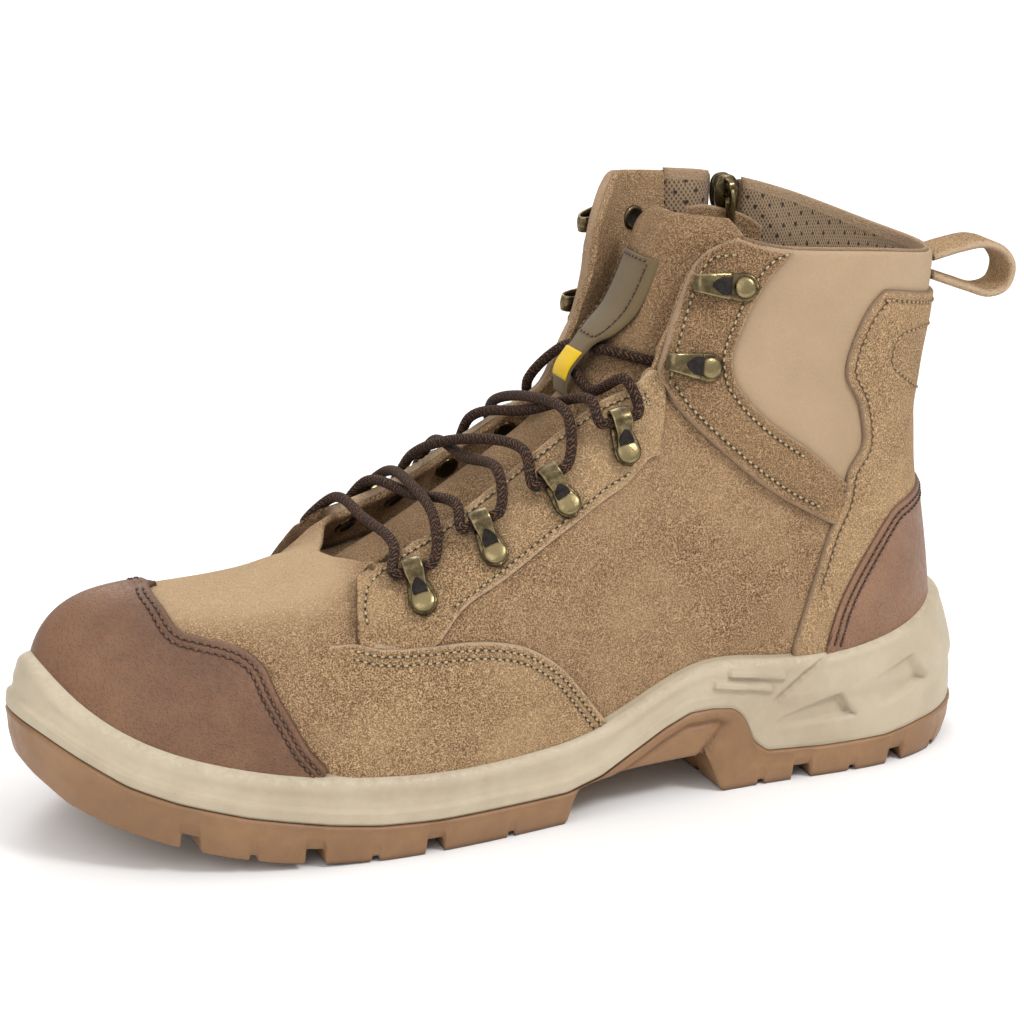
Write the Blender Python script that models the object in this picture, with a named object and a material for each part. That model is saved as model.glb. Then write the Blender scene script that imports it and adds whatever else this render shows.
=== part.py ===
"""A high-top safety shoe for the left foot, empty and standing on its sole.

Sizes in the tables are millimetres. s runs from the heel's back to the toe, y to the outer side, z up.
The upper is one form: section planes fan out from the feather line (v = 0) to the top line (v = 1), and
t counts the sections round the shoe: 0 heel, TOE at the toe's tip, then back along the inner side.
"""

import math

import bpy
import numpy as np

MM = 0.001
ORIGIN = (141.56, 0.0, -1.7)

# Driving sizes
GAP = 0.45
WALL = 2.4
COLLAR_PADDING = 2.6
OVERLAY = 1.3
RIM_WIDTH = 1.9
PLATE_INSET = 9.0
GROOVE_DEPTH = 4.6
INSOLE_THICKNESS = 3.0
LACE_RADIUS = 1.85
STRIP = 1.1

# One row a section plane, from the heel's back to the toe's tip
STATION_COLUMNS = (
    "foot_s", "foot_outer", "foot_inner", "foot_z",
    "top_s_outer", "top_y_outer", "top_z_outer",
    "top_s_inner", "top_y_inner", "top_z_inner",
    "round", "nose", "box_outer", "box_inner", "bulge", "waist", "rim_z", "flare",
)
STATIONS = (
    (8.5, 0.0, 0.0, 26.0, 8, 0, 156.0, 8, 0, 156.0, 0.00, 0.0, 2.0, 2.0, -0.5, 7.0, 48.0, 10.0),
    (16, 20.5, -20.0, 26.0, 15, 18.5, 157.0, 15, -18.5, 158.5, 0.00, 0.0, 2.0, 2.0, 0.0, 5.5, 46.5, 9.0),
    (38, 34.0, -32.5, 26.0, 35, 30, 161.0, 34, -30.5, 166.0, 0.10, 0.0, 2.0, 2.0, 1.5, 2.5, 41.5, 6.4),
    (72, 36.0, -33.0, 26.0, 62, 32, 164.0, 62, -32.5, 175.0, 0.25, 0.0, 2.0, 2.0, 2.0, 1.0, 38.3, 5.5),
    (103, 37.5, -31.5, 26.5, 85, 25, 169.0, 90, -29, 180.5, 0.60, 0.0, 2.0, 2.0, 1.0, 0.0, 39.8, 5.5),
    (133, 40.5, -32.5, 23.5, 104, 0, 175.0, 110, 0, 181.0, 1.00, 0.0, 2.1, 2.1, 0.0, 0.0, 27.5, 5.5),
    (160, 45.0, -36.0, 17.5, 110, 0, 153.0, 114, 0, 156.0, 1.00, 0.0, 2.2, 2.0, 0.0, 0.0, 23.0, 5.5),
    (185, 48.5, -42.5, 15.5, 124, 0, 134.0, 126, 0, 135.0, 1.00, 0.0, 2.2, 2.0, 0.0, 0.0, 22.3, 5.5),
    (208, 49.5, -48.0, 15.2, 152, 0, 112.0, 153, 0, 112.0, 1.00, 0.0, 2.3, 2.0, 0.0, 0.0, 23.3, 5.5),
    (232, 47.5, -49.5, 16.8, 183, 0, 91.5, 183, 0, 91.5, 1.00, 0.0, 2.4, 1.9, 0.0, 0.0, 25.5, 5.5),
    (255, 42.0, -46.0, 20.5, 210, -1, 78.0, 210, -1, 78.0, 1.00, 0.1, 2.5, 1.9, 0.0, 0.0, 29.3, 5.8),
    (277, 31.0, -36.0, 26.5, 234, -2, 73.0, 234, -2, 73.0, 1.00, 0.4, 2.7, 2.1, 0.0, 0.0, 36.0, 6.2),
    (292, 14.0, -20.0, 33.5, 254, -3, 72.3, 254, -3, 72.3, 1.00, 0.8, 2.9, 2.6, 0.0, 0.0, 47.0, 6.8),
    (298, -3.0, -3.0, 36.5, 264, -3, 72.3, 264, -3, 72.3, 1.00, 1.0, 3.0, 3.0, 0.0, 0.0, 56.5, 7.0),
)
TOE = len(STATIONS) - 1
LOOP = 2 * TOE

# Where the wall's sections are cut, on each side
COLUMNS = (
    0, 0.4, 0.8, 1.2, 1.6, 2, 2.42, 2.83, 3.17, 3.35, 3.48, 3.62, 3.83, 4.03, 4.3, 4.55, 4.8, 5.1,
    5.45, 5.57, 6, 6.5, 7, 7.5, 8, 8.5, 9, 9.3, 9.6, 9.85, 10, 10.5, 11, 11.35, 11.7, 12, 12.35, 12.7, 13,
)
RIDGE_FROM = 10
RIM_ROWS = 2
WALL_ROWS = 7

# Edge of the collar and throat: t, v
THROAT_EDGE = (
    (4.00, 1.00), (4.30, 0.87), (4.55, 0.735), (4.80, 0.585), (5.10, 0.505), (5.55, 0.53), (6.20, 0.615),
    (6.90, 0.68), (7.80, 0.71), (8.70, 0.70), (9.20, 0.70), (9.60, 0.78), (9.85, 0.90), (10.0, 1.00),
)
# The inner side: its lacing edge sits lower (share), its flap further forward and its front corner stands up (mm)
INNER_DROP = (
    (5.0, 0.0), (5.3, 0.06), (5.6, 0.10), (6.2, 0.11), (7.0, 0.135), (7.5, 0.135), (8.0, 0.11), (8.6, 0.035), (9.2, 0.0),
)
INNER_FLAP = ((3.30, 0.0), (4.00, 11.5), (4.60, 11.5), (5.15, 0.0))
INNER_CORNER = ((8.5, 0.0), (9.0, 2.4), (9.35, 3.6), (9.60, 3.2), (9.85, 0.0))
# Line between the midsole and the outsole at the edge: s, z
JOINT_LINE = (
    (0, 11.0), (23, 10.5), (37, 8.8), (60, 8.8), (79, 9.9), (84, 14.0), (87, 22.0), (90.5, 25.4), (98, 26.6),
    (106, 26.5), (115, 23.0), (123, 18.8), (137, 11.7), (149, 8.8), (192, 8.9), (211, 10.0), (226, 12.0),
    (249, 16.2), (268, 21.0), (281, 25.6), (293, 32.5), (301, 37.5), (306, 40.0),
)
# The same line away from the edge, under the foot: s, z
PLATE_LINE = (
    (0, 10.0), (25, 8.8), (80, 8.8), (92, 16.5), (100, 18.5), (125, 17.0), (140, 11.5), (152, 8.8), (215, 8.8),
    (240, 9.6), (255, 12.0), (270, 15.5), (285, 21.0), (295, 27.0), (306, 33.0),
)
# Underside of the outsole: s, z
GROUND_LINE = (
    (-2, 5.0), (8, 0.0), (16, -1.7), (94.0, -1.7), (99.5, 11.5), (145.0, 9.8), (148.5, -1.7), (208, -1.7),
    (224, -0.7), (240, 1.1), (255, 3.8), (270, 7.6), (285, 12.3), (295, 16.8), (302, 23.0), (306, 28.5),
)
# Side of the midsole from its lower edge to its rim: share of height, share of the way in, step out
SOLE_WALL = (
    (0.00, 0.00, 0.0), (0.06, 0.00, 0.8), (0.25, 0.04, 0.8), (0.33, 0.10, -0.3), (0.55, 0.22, 0.3),
    (0.88, 0.60, 0.6), (1.00, 1.00, 0.0),
)
# Grooves across the outsole: s, width
GROOVES = ((265, 5.0), (230.1, 5.5), (193.3, 5.5), (66.5, 6.0), (33.0, 5.5))
# Pockets and ribs in the side of the heel: t from, t to, low share, high share
POCKETS = ((2.45, 2.96, 0.30, 0.58), (1.15, 1.90, 0.26, 0.60))
RIBS = ((2.95, 3.55, 0.86, 0.90), (2.86, 3.40, 0.72, 0.76))

# Overlays
CAP_EDGE = (
    (8.97, 0.06), (9.43, 0.123), (10.03, 0.263), (10.35, 0.383), (10.58, 0.45), (10.80, 0.49), (11.08, 0.523),
    (11.28, 0.557), (11.60, 0.727), (12.00, 0.90), (12.35, 1.00),
)
COUNTER_EDGE = ((0.0, 0.445), (1.0, 0.435), (1.6, 0.41), (1.95, 0.377), (2.38, 0.253), (2.55, 0.17), (2.62, 0.10))
BACKSTAY_EDGE = (
    (0.100, 2.94), (0.22, 2.80), (0.333, 2.65), (0.423, 2.35), (0.497, 2.43), (0.54, 2.26), (0.617, 2.33),
    (0.70, 2.53), (0.83, 2.35), (0.90, 2.10),
)
EYESTAY_LOW = (
    (5.15, 0.40), (5.40, 0.36), (6.33, 0.393), (7.10, 0.39), (7.68, 0.37), (8.22, 0.34), (8.45, 0.30),
    (9.12, 0.355), (9.33, 0.393), (9.50, 0.48), (9.58, 0.56),
)
EYESTAY_TOP = ((5.15, 0.485), (5.55, 0.51), (6.20, 0.60), (6.90, 0.67), (7.80, 0.70), (8.70, 0.69), (9.58, 0.655))
# Hook flap and its diagonal band, one row across: back t, v, then front t, v
FACING = (
    (3.30, 0.995, 3.98, 0.995), (3.50, 0.93, 4.22, 0.895), (3.72, 0.82, 4.48, 0.765), (3.88, 0.71, 4.68, 0.645),
    (3.97, 0.63, 4.88, 0.545), (3.92, 0.59, 5.02, 0.485), (3.83, 0.578, 4.84, 0.465), (3.70, 0.565, 4.60, 0.448), (3.20, 0.533, 3.90, 0.433),
    (2.95, 0.515, 3.45, 0.412), (2.56, 0.460, 2.82, 0.372),
)
FACING_END = ((3.30, 0.54, 3.98, 0.438),)

# Tongue, one row a section from the throat's base up
TONGUE_COLUMNS = ("s", "z", "outer", "inner", "edge_s_outer", "edge_s_inner", "edge_z", "thick")
TONGUE = (
    (208, 71.5, 17, 17, 207, 207, 66.0, 2.4),
    (190, 80.0, 25, 23, 184, 184, 69.0, 2.8),
    (165, 95.0, 29, 25, 153, 153, 80.0, 3.4),
    (143, 108.5, 28, 24, 129, 129, 95.0, 4.0),
    (127, 121.0, 26, 23, 111, 112, 111.0, 4.6),
    (115, 136.0, 25, 23, 97, 102, 129.0, 5.2),
    (107, 153.0, 24, 23, 86, 99, 150.0, 5.8),
    (101, 168.0, 24, 22, 80, 98, 165.5, 5.6),
    (98, 174.0, 19, 17, 82, 96, 172.0, 4.2),
)
# Keeper strip on the tongue, over the lace: tongue row, half-width, height off the tongue
LABEL = (
    (3.76, 4.2, 0.5), (3.92, 4.2, 4.0), (4.12, 4.2, 5.9), (4.40, 4.4, 6.1), (4.70, 4.8, 5.8), (5.00, 7.5, 4.2),
    (5.35, 10.5, 1.8), (5.80, 11.0, 0.8), (6.30, 11.0, 0.5),
)

# Lace hardware on the outer side: rivet t, v, then tip t, v; for a loop, also how far in t the lace runs on
LACE_LOOPS = (
    (8.70, 0.427, 9.00, 0.593, 0.22), (7.95, 0.450, 8.33, 0.623, 0.22),
    (7.05, 0.450, 7.58, 0.600, 0.26), (5.80, 0.423, 6.60, 0.600, 0.42),
)
LACE_HOOKS = ((3.88, 0.827, 4.53, 0.710), (4.28, 0.563, 4.93, 0.510))

# Lace past the fourth pair, under the keeper strip: tongue row, across, height
OVER_KEEPER = (
    (4.42, -0.56, 5.0), (4.62, -0.26, 0.4), (4.70, 0.10, 0.0), (4.78, 0.45, 0.0), (4.88, 0.80, 0.0),
)
UNDER_KEEPER = (
    (4.05, 0.45, 0.4), (4.18, 0.05, 0.0), (4.28, -0.28, 0.0), (4.48, -0.55, -0.2), (4.78, -0.70, 0.0), (5.00, -0.82, 0.0),
)

# Pull loop at the back: s, z along the strap's middle line
PULL_LOOP = (
    (7.3, 152.0), (-3.0, 154.0), (-11.0, 154.6), (-17.6, 152.2), (-21.4, 146.8), (-19.6, 140.4), (-13.6, 138.6),
    (-5.0, 141.4), (7.3, 146.2),
)
PULL_LOOP_WIDTH = 15.0
PULL_LOOP_THICKNESS = 2.6

# Zip on the inner side
ZIP_T = LOOP - 3.0
ZIP_HALF = 0.17
ZIP_ROW = 3
ZIP_TOP_V = 0.890
SLIDER = (8.0, 5.0, 12.0)
PULL_TAB = (6.6, 1.3, 20.0)
BAR = 1.2

COLOURS = {
    "suede": (0.40, 0.26, 0.15), "smooth": (0.50, 0.36, 0.24), "leather": (0.20, 0.10, 0.07),
    "midsole": (0.58, 0.50, 0.38), "rubber": (0.29, 0.15, 0.07), "cloth": (0.24, 0.17, 0.11),
    "cord": (0.035, 0.025, 0.020), "metal": (0.30, 0.21, 0.11), "label": (0.14, 0.12, 0.08),
}


# Form of the shoe
TABLE = {name: np.array([row[i] for row in STATIONS], float) for i, name in enumerate(STATION_COLUMNS)}


def round_the_shoe(outer, inner):
    """Knots of one column, out along the outer side and back along the inner."""
    return np.concatenate([TABLE[outer], TABLE[inner][TOE - 1:0:-1]])


KNOTS = np.stack([
    round_the_shoe("foot_s", "foot_s"), round_the_shoe("foot_outer", "foot_inner"), round_the_shoe("foot_z", "foot_z"),
    round_the_shoe("top_s_outer", "top_s_inner"), round_the_shoe("top_y_outer", "top_y_inner"),
    round_the_shoe("top_z_outer", "top_z_inner"),
    *[round_the_shoe(name, name) for name in ("round", "nose")],
    round_the_shoe("box_outer", "box_inner"),
    *[round_the_shoe(name, name) for name in ("bulge", "waist", "rim_z", "flare")],
], axis=1)
RIM_Z, FLARE = 11, 12
BAND = np.eye(LOOP)
CONTROLS = np.linalg.solve((4 * BAND + np.roll(BAND, 1, 0) + np.roll(BAND, -1, 0)) / 6, KNOTS)


def station(t, slope=False):
    """Every column at t, by a closed cubic spline; or its slope."""
    t = np.asarray(t, float)
    first = np.floor(t).astype(int)
    f = t - first
    if slope:
        weights = [-(1 - f) ** 2, 3 * f**2 - 4 * f, -3 * f**2 + 2 * f + 1, f**2]
        weights = np.stack(weights, -1) / 2
    else:
        weights = [(1 - f) ** 3, 3 * f**3 - 6 * f**2 + 4, -3 * f**3 + 3 * f**2 + 3 * f + 1, f**3]
        weights = np.stack(weights, -1) / 6
    rows = CONTROLS[(first[..., None] + np.arange(-1, 3)) % LOOP]
    return (weights[..., None] * rows).sum(-2)


def outward(t):
    """Direction away from the foot in plan, square to the feather line."""
    slope = station(t, True)
    across = np.stack([-slope[..., 1], slope[..., 0], np.zeros_like(slope[..., 0])], -1)
    return across / np.linalg.norm(across, axis=-1, keepdims=True)


def bump(v, peak):
    """A smooth hump over 0 to 1 that is highest at peak."""
    return np.sin(np.pi * np.clip(v, 0, 1) ** (math.log(0.5) / math.log(peak))) ** 2


def on_line(line, at):
    """A table of two columns read at a place, straight between rows."""
    line = np.asarray(line, float)
    return np.interp(at, line[:, 0], line[:, 1])


def one_side(t):
    """t counted from the heel on either side."""
    t = np.asarray(t, float) % LOOP
    return np.minimum(t, LOOP - t)


def form(t, v):
    """Outer face of the upper."""
    t, v = np.broadcast_arrays(np.asarray(t, float), np.clip(np.asarray(v, float), 0, 1))
    inner = t % LOOP > TOE
    flap = on_line(INNER_FLAP, one_side(t)) * np.clip(2 * v - 1, 0, 1) ** 0.7 * inner
    corner = on_line(INNER_CORNER, one_side(t)) * np.clip((v - 0.40) / 0.32, 0, 1) ** 2 * inner
    v = v - on_line(INNER_DROP, one_side(t)) * np.interp(v, (0.0, 0.7, 1.0), (0.0, 1.0, 0.0)) * inner
    columns = np.moveaxis(station(t), -1, 0)
    foot_s, foot_y, foot_z, top_s, top_y, top_z, rounding, nose, box, bulge, waist = columns[:11]
    over = 1 - np.cos(v * np.pi / 2).clip(0) ** (2 / box)
    up = np.sin(v * np.pi / 2) ** (2 / box)
    rounding = rounding.clip(0, 1)
    nose = nose.clip(0, 1)
    inward = (1 - rounding) * v + rounding * over
    rise = (1 - rounding) * v + rounding * up
    along = (1 - nose) * rise + nose * over
    push = bulge * bump(v, 0.25) - waist * bump(v, 0.58)
    point = np.stack([
        foot_s + (top_s - foot_s) * along, foot_y + (top_y - foot_y) * inward, foot_z + (top_z - foot_z) * rise,
    ], -1)
    point = point + outward(t) * push[..., None]
    return point + flap[..., None] * np.array([1.0, 0.0, 0.0]) + corner[..., None] * np.array([0.0, -0.35, 1.0])


def form_normal(t, v, step=1e-3):
    t, v = np.broadcast_arrays(np.asarray(t, float), np.asarray(v, float))
    round_way = form(t + step, v) - form(t - step, v)
    up_way = form(t, np.minimum(v + step, 1)) - form(t, np.maximum(v - step, 0))
    normal = np.cross(up_way, round_way)
    return normal / np.linalg.norm(normal, axis=-1, keepdims=True)


def skin(t, v, lift):
    """A point lifted off the outer face."""
    return form(t, v) + form_normal(t, v) * np.asarray(lift, float)[..., None]


def height_share(t, z):
    """v at which the form reaches z."""
    v = np.linspace(0, 1, 401)
    return float(np.interp(z, form(np.full(401, t), v)[:, 2], v))


def rim_share(t):
    return height_share(t, station(t)[RIM_Z])


def edge_share(t):
    side = float(one_side(t))
    if side <= THROAT_EDGE[0][0] or side >= THROAT_EDGE[-1][0]:
        return 1.0
    return float(on_line(THROAT_EDGE, side))


def wall_depth(t, v):
    """Thickness of the upper, padded round the collar."""
    pad = np.clip((np.asarray(v, float) - 0.45) / 0.35, 0, 1) * np.clip((4.3 - one_side(t)) / 0.8, 0, 1)
    return WALL + COLLAR_PADDING * pad * pad * (3 - 2 * pad)


def sole_edge(t):
    """Outline of the sole in plan."""
    columns = station(t)
    edge = columns[..., :2] + outward(t)[..., :2] * columns[..., FLARE:FLARE + 1]
    return edge


def sole_wall(t, share, lift=0.0):
    """Side of the midsole at a share of its height."""
    profile = np.asarray(SOLE_WALL, float)
    way_in = np.interp(share, profile[:, 0], profile[:, 1])
    step = np.interp(share, profile[:, 0], profile[:, 2]) + lift
    edge = sole_edge(t)
    low = np.array([edge[0], edge[1], on_line(JOINT_LINE, edge[0])])
    rim = rim_share(t)
    high = skin(t, rim, GAP + RIM_WIDTH)
    high[2] = station(t)[RIM_Z]
    point = low + (high - low) * np.array([way_in, way_in, share])
    return point + outward(t) * step


# Building meshes
def remove_everything():
    for thing in list(bpy.data.objects):
        bpy.data.objects.remove(thing, do_unlink=True)


def material(kind, metallic=0.0, rough=0.7):
    found = bpy.data.materials.get(kind)
    if found:
        return found
    made = bpy.data.materials.new(kind)
    made.use_nodes = True
    shader = made.node_tree.nodes["Principled BSDF"]
    shader.inputs["Base Color"].default_value = (*COLOURS[kind], 1)
    shader.inputs["Metallic"].default_value = metallic
    shader.inputs["Roughness"].default_value = rough
    return made


def build(name, points, faces, kind):
    """One object from points in millimetres."""
    mesh = bpy.data.meshes.new(name)
    placed = (np.asarray(points, float) - np.asarray(ORIGIN)) * MM
    mesh.from_pydata([tuple(p) for p in placed], [], [tuple(int(i) for i in face) for face in faces])
    mesh.update()
    mesh.materials.append(material(kind, *((1.0, 0.4) if kind == "metal" else ())))
    made = bpy.data.objects.new(name, mesh)
    bpy.context.scene.collection.objects.link(made)
    return made


def closed_sheet(outer, inner, quads):
    """Close two matching sheets into a solid: faces on both and a strip along every free edge."""
    count = len(outer)
    points = np.vstack([outer, inner])
    faces = [tuple(quad) for quad in quads]
    faces += [tuple(i + count for i in reversed(quad)) for quad in quads]
    used = {}
    for quad in quads:
        for a, b in zip(quad, quad[1:] + quad[:1]):
            used[(a, b)] = True
    for a, b in used:
        if (b, a) not in used:
            faces.append((b, a, a + count, b + count))
    return points, faces


def sheet_quads(columns, rows):
    """Quads of a grid that is stored column by column, facing out when t grows along the columns."""
    quads = []
    for c in range(columns - 1):
        for r in range(rows - 1):
            a, b = c * rows + r, (c + 1) * rows + r
            quads.append((a, a + 1, b + 1, b))
    return quads


def split_at(quads, corner):
    """Quads that meet at a corner become triangles that fan from it."""
    faces = []
    for quad in quads:
        if corner in quad:
            k = quad.index(corner)
            turned = quad[k:] + quad[:k]
            faces += [turned[:3], (turned[0], turned[2], turned[3])]
        else:
            faces.append(quad)
    return faces


def tidy(points, faces):
    """Drop points that no face uses."""
    used = sorted({i for face in faces for i in face})
    place = {old: new for new, old in enumerate(used)}
    return np.asarray(points)[used], [tuple(place[i] for i in face) for face in faces]


def two_triangles(points, quad):
    """Split a quad along its shorter diagonal."""
    a, b, c, d = quad
    if np.linalg.norm(points[a] - points[c]) <= np.linalg.norm(points[b] - points[d]):
        return [(a, b, c), (a, c, d)]
    return [(a, b, d), (b, c, d)]


def ring_stack(rings, cap_low, cap_high):
    """Solid from closed rings of equal count, each end closed by rungs across it."""
    count = len(rings[0])
    points = np.vstack(rings)
    faces = []
    for k in range(len(rings) - 1):
        for i in range(count):
            j = (i + 1) % count
            quad = (k * count + i, k * count + j, (k + 1) * count + j, (k + 1) * count + i)
            faces += two_triangles(points, quad)
    for base, turned in ((cap_low, True), (cap_high, False)):
        for i in range(count // 2):
            rung = [base + i, base + i + 1, base + count - i - 1, base + (count - i) % count]
            rung = tuple(dict.fromkeys(rung))
            pieces = two_triangles(points, rung) if len(rung) == 4 else [rung]
            faces += [tuple(reversed(piece)) for piece in pieces] if turned else pieces
    return points, faces


def all_columns():
    return list(COLUMNS) + [LOOP - t for t in COLUMNS[-2:0:-1]]


def modify(target, tool, operation):
    """Boolean with a hidden helper."""
    tool.hide_render = True
    tool.display_type = "WIRE"
    step = target.modifiers.new(operation.lower(), "BOOLEAN")
    step.operation = operation
    step.solver = "EXACT"
    step.object = tool


def box_points(centre, size):
    """Corners and faces of an upright box."""
    corners = [
        (centre[0] + a * size[0] / 2, centre[1] + b * size[1] / 2, centre[2] + c * size[2] / 2)
        for c in (-1, 1) for a, b in ((-1, -1), (1, -1), (1, 1), (-1, 1))
    ]
    faces = [(3, 2, 1, 0), (4, 5, 6, 7), (0, 1, 5, 4), (1, 2, 6, 5), (2, 3, 7, 6), (3, 0, 4, 7)]
    return np.array(corners), faces


def joined(pieces):
    """Several solids' points and faces in one list."""
    points, faces, start = [], [], 0
    for some_points, some_faces in pieces:
        points.append(np.asarray(some_points))
        faces += [tuple(i + start for i in face) for face in some_faces]
        start += len(some_points)
    return np.vstack(points), faces


# Upper
def upper():
    columns = all_columns()
    rows = RIM_ROWS + WALL_ROWS + 1
    shares = []
    for t in columns:
        rim = rim_share(t)
        low = np.linspace(0, rim, RIM_ROWS + 1)
        shares.append(np.concatenate([low, np.linspace(rim, edge_share(t), WALL_ROWS + 1)[1:]]))
    v = np.array(shares)
    t = np.repeat(np.array(columns, float)[:, None], rows, axis=1)
    outer = form(t, v)
    inner = skin(t, v, -wall_depth(t, v))
    index = np.arange(len(columns) * rows).reshape(len(columns), rows)
    for c, at in enumerate(columns):
        if RIDGE_FROM <= at < TOE:
            mirror = len(columns) - c
            index[mirror, -1] = index[c, -1]
            for grid in (outer, inner):
                grid[c, -1] = (grid[c, -1] + grid[mirror, -1]) / 2
    quads = []
    for c, at in enumerate(columns):
        after = (c + 1) % len(columns)
        in_slot = abs((at + columns[after]) / 2 - ZIP_T) < 0.02
        for r in range(rows - 1):
            if in_slot and r >= ZIP_ROW:
                continue
            quads.append((index[c, r], index[c, r + 1], index[after, r + 1], index[after, r]))
    quads = split_at(quads, index[columns.index(TOE), -1])
    points, faces = closed_sheet(outer.reshape(-1, 3), inner.reshape(-1, 3), quads)
    build("upper", *tidy(points, faces), "suede")
    return v


# Sole
def midsole():
    columns = all_columns()
    rings = []
    floor, edge_low, inset = [], [], []
    for t in columns:
        foot = form(t, 0) + outward(t) * GAP
        floor.append((foot[0], foot[1], foot[2] - GAP))
        edge = sole_edge(t)
        edge_low.append((edge[0], edge[1], on_line(JOINT_LINE, edge[0])))
        back = edge - outward(t)[:2] * PLATE_INSET
        inset.append((back[0], back[1], on_line(PLATE_LINE, back[0])))
    rims = [rim_share(t) for t in columns]
    rings.append(inset)
    rings.append(edge_low)
    for share, _, _ in SOLE_WALL[1:]:
        rings.append([sole_wall(t, share) for t in columns])
    for r in range(RIM_ROWS, 0, -1):
        rings.append([skin(t, rim * r / RIM_ROWS, GAP) for t, rim in zip(columns, rims)])
    rings.append(floor)
    rings = [np.array(ring)[::-1] for ring in rings]
    rings = [np.roll(ring, 1, axis=0) for ring in rings]
    points, faces = ring_stack(rings, 0, (len(rings) - 1) * len(columns))
    body = build("midsole", points, faces, "midsole")

    def patches(rows, low, high):
        pieces = []
        for t0, t1, share0, share1 in rows:
            for side in (False, True):
                ts = np.linspace(t0, t1, 4)
                ts = LOOP - ts[::-1] if side else ts
                grid = [(t, share) for t in ts for share in (share0, share1)]
                outer = [sole_wall(t, share, high) for t, share in grid]
                inner = [sole_wall(t, share, low) for t, share in grid]
                pieces.append(closed_sheet(np.array(outer), np.array(inner), sheet_quads(4, 2)))
        return joined(pieces)

    modify(body, build("midsole_pockets", *patches(POCKETS, -1.6, 4.0), "midsole"), "DIFFERENCE")
    modify(body, build("midsole_ribs", *patches(RIBS, -1.2, 0.9), "midsole"), "UNION")


def outsole():
    columns = all_columns()
    names = ("bottom", "side", "lip", "top", "inset")
    rings = {name: [] for name in names}
    for t in columns:
        edge = sole_edge(t)
        away = outward(t)[:2]
        joint = on_line(JOINT_LINE, edge[0]) - GAP
        ground = on_line(GROUND_LINE, edge[0])
        low = edge - away * 1.2
        mid = edge + away * 0.5
        lip = edge + away * 0.6
        back = edge - away * PLATE_INSET
        rings["bottom"].append((low[0], low[1], ground))
        rings["side"].append((mid[0], mid[1], ground + 0.45 * (joint - ground)))
        rings["lip"].append((lip[0], lip[1], joint - 1.2))
        rings["top"].append((edge[0], edge[1], joint))
        rings["inset"].append((back[0], back[1], on_line(PLATE_LINE, back[0]) - GAP))
    stack = [np.roll(np.array(rings[name])[::-1], 1, axis=0) for name in names]
    points, faces = ring_stack(stack, 0, (len(stack) - 1) * len(columns))
    body = build("outsole", points, faces, "rubber")
    cuts = []
    for s, width in GROOVES:
        top = on_line(GROUND_LINE, s) + GROOVE_DEPTH
        cuts.append(box_points((s, 0, top - 10), (width, 140, 20)))
    modify(body, build("outsole_grooves", *joined(cuts), "rubber"), "DIFFERENCE")


def insole():
    columns = all_columns()
    low, high = [], []
    for t in columns:
        foot = form(t, 0) - outward(t) * (WALL + 1.3)
        low.append((foot[0], foot[1], foot[2] + 0.1))
        high.append((foot[0], foot[1], foot[2] + 0.1 + INSOLE_THICKNESS))
    stack = [np.roll(np.array(ring)[::-1], 1, axis=0) for ring in (low, high)]
    points, faces = ring_stack(stack, 0, len(columns))
    build("insole", points, faces, "cloth")


# Tongue
TONGUE_TABLE = {name: np.array([row[i] for row in TONGUE], float) for i, name in enumerate(TONGUE_COLUMNS)}


def tongue_point(row, across, depth):
    """Point of the tongue: row counts its sections, across runs from -1 inner to 1 outer."""
    read = {name: np.interp(row, np.arange(len(TONGUE)), column) for name, column in TONGUE_TABLE.items()}
    near = {name: np.interp(row + 0.5, np.arange(len(TONGUE)), column) for name, column in TONGUE_TABLE.items()}
    far = {name: np.interp(row - 0.5, np.arange(len(TONGUE)), column) for name, column in TONGUE_TABLE.items()}
    half = read["outer"] if across > 0 else read["inner"]
    bend = abs(across) ** 2.2
    back = np.array([near["s"] - far["s"], 0, near["z"] - far["z"]])
    back /= np.linalg.norm(back)
    inward = np.array([-back[2], 0, back[0]])
    middle = np.array([read["s"], 0, read["z"]])
    edge = np.array([read["edge_s_outer" if across > 0 else "edge_s_inner"], 0, read["edge_z"]])
    point = middle + (edge - middle) * bend
    point[1] = half * across
    thin = 1 - 0.55 * abs(across) ** 3
    lean = np.array([0, -0.75 * across, 0])
    return point + (inward * (1 - 0.35 * abs(across)) + lean * 0.6) * depth * read["thick"] * thin


def tongue():
    acrosses = np.linspace(-1, 1, 11)
    rows = np.arange(len(TONGUE))
    grid = [(row, across) for across in acrosses for row in rows]
    outer = np.array([tongue_point(row, across, 0.0) for row, across in grid])
    inner = np.array([tongue_point(row, across, 1.0) for row, across in grid])
    quads = [tuple(reversed(quad)) for quad in sheet_quads(len(acrosses), len(rows))]
    build("tongue", *closed_sheet(outer, inner, quads), "suede")


def off_tongue(row, across, height):
    """A point above the tongue."""
    surface = tongue_point(row, across, 0.0)
    normal = surface - tongue_point(row, across, 1.0)
    return surface + normal / np.linalg.norm(normal) * height


def tongue_label():
    outer, inner = [], []
    for part in (-1.0, -0.33, 0.33, 1.0):
        for row, half, height in LABEL:
            across = part * half / 24.0
            outer.append(off_tongue(row, across, height + 1.1))
            inner.append(off_tongue(row, across, height))
    quads = [tuple(reversed(quad)) for quad in sheet_quads(4, len(LABEL))]
    build("tongue_label", *closed_sheet(np.array(outer), np.array(inner), quads), "label")


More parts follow.
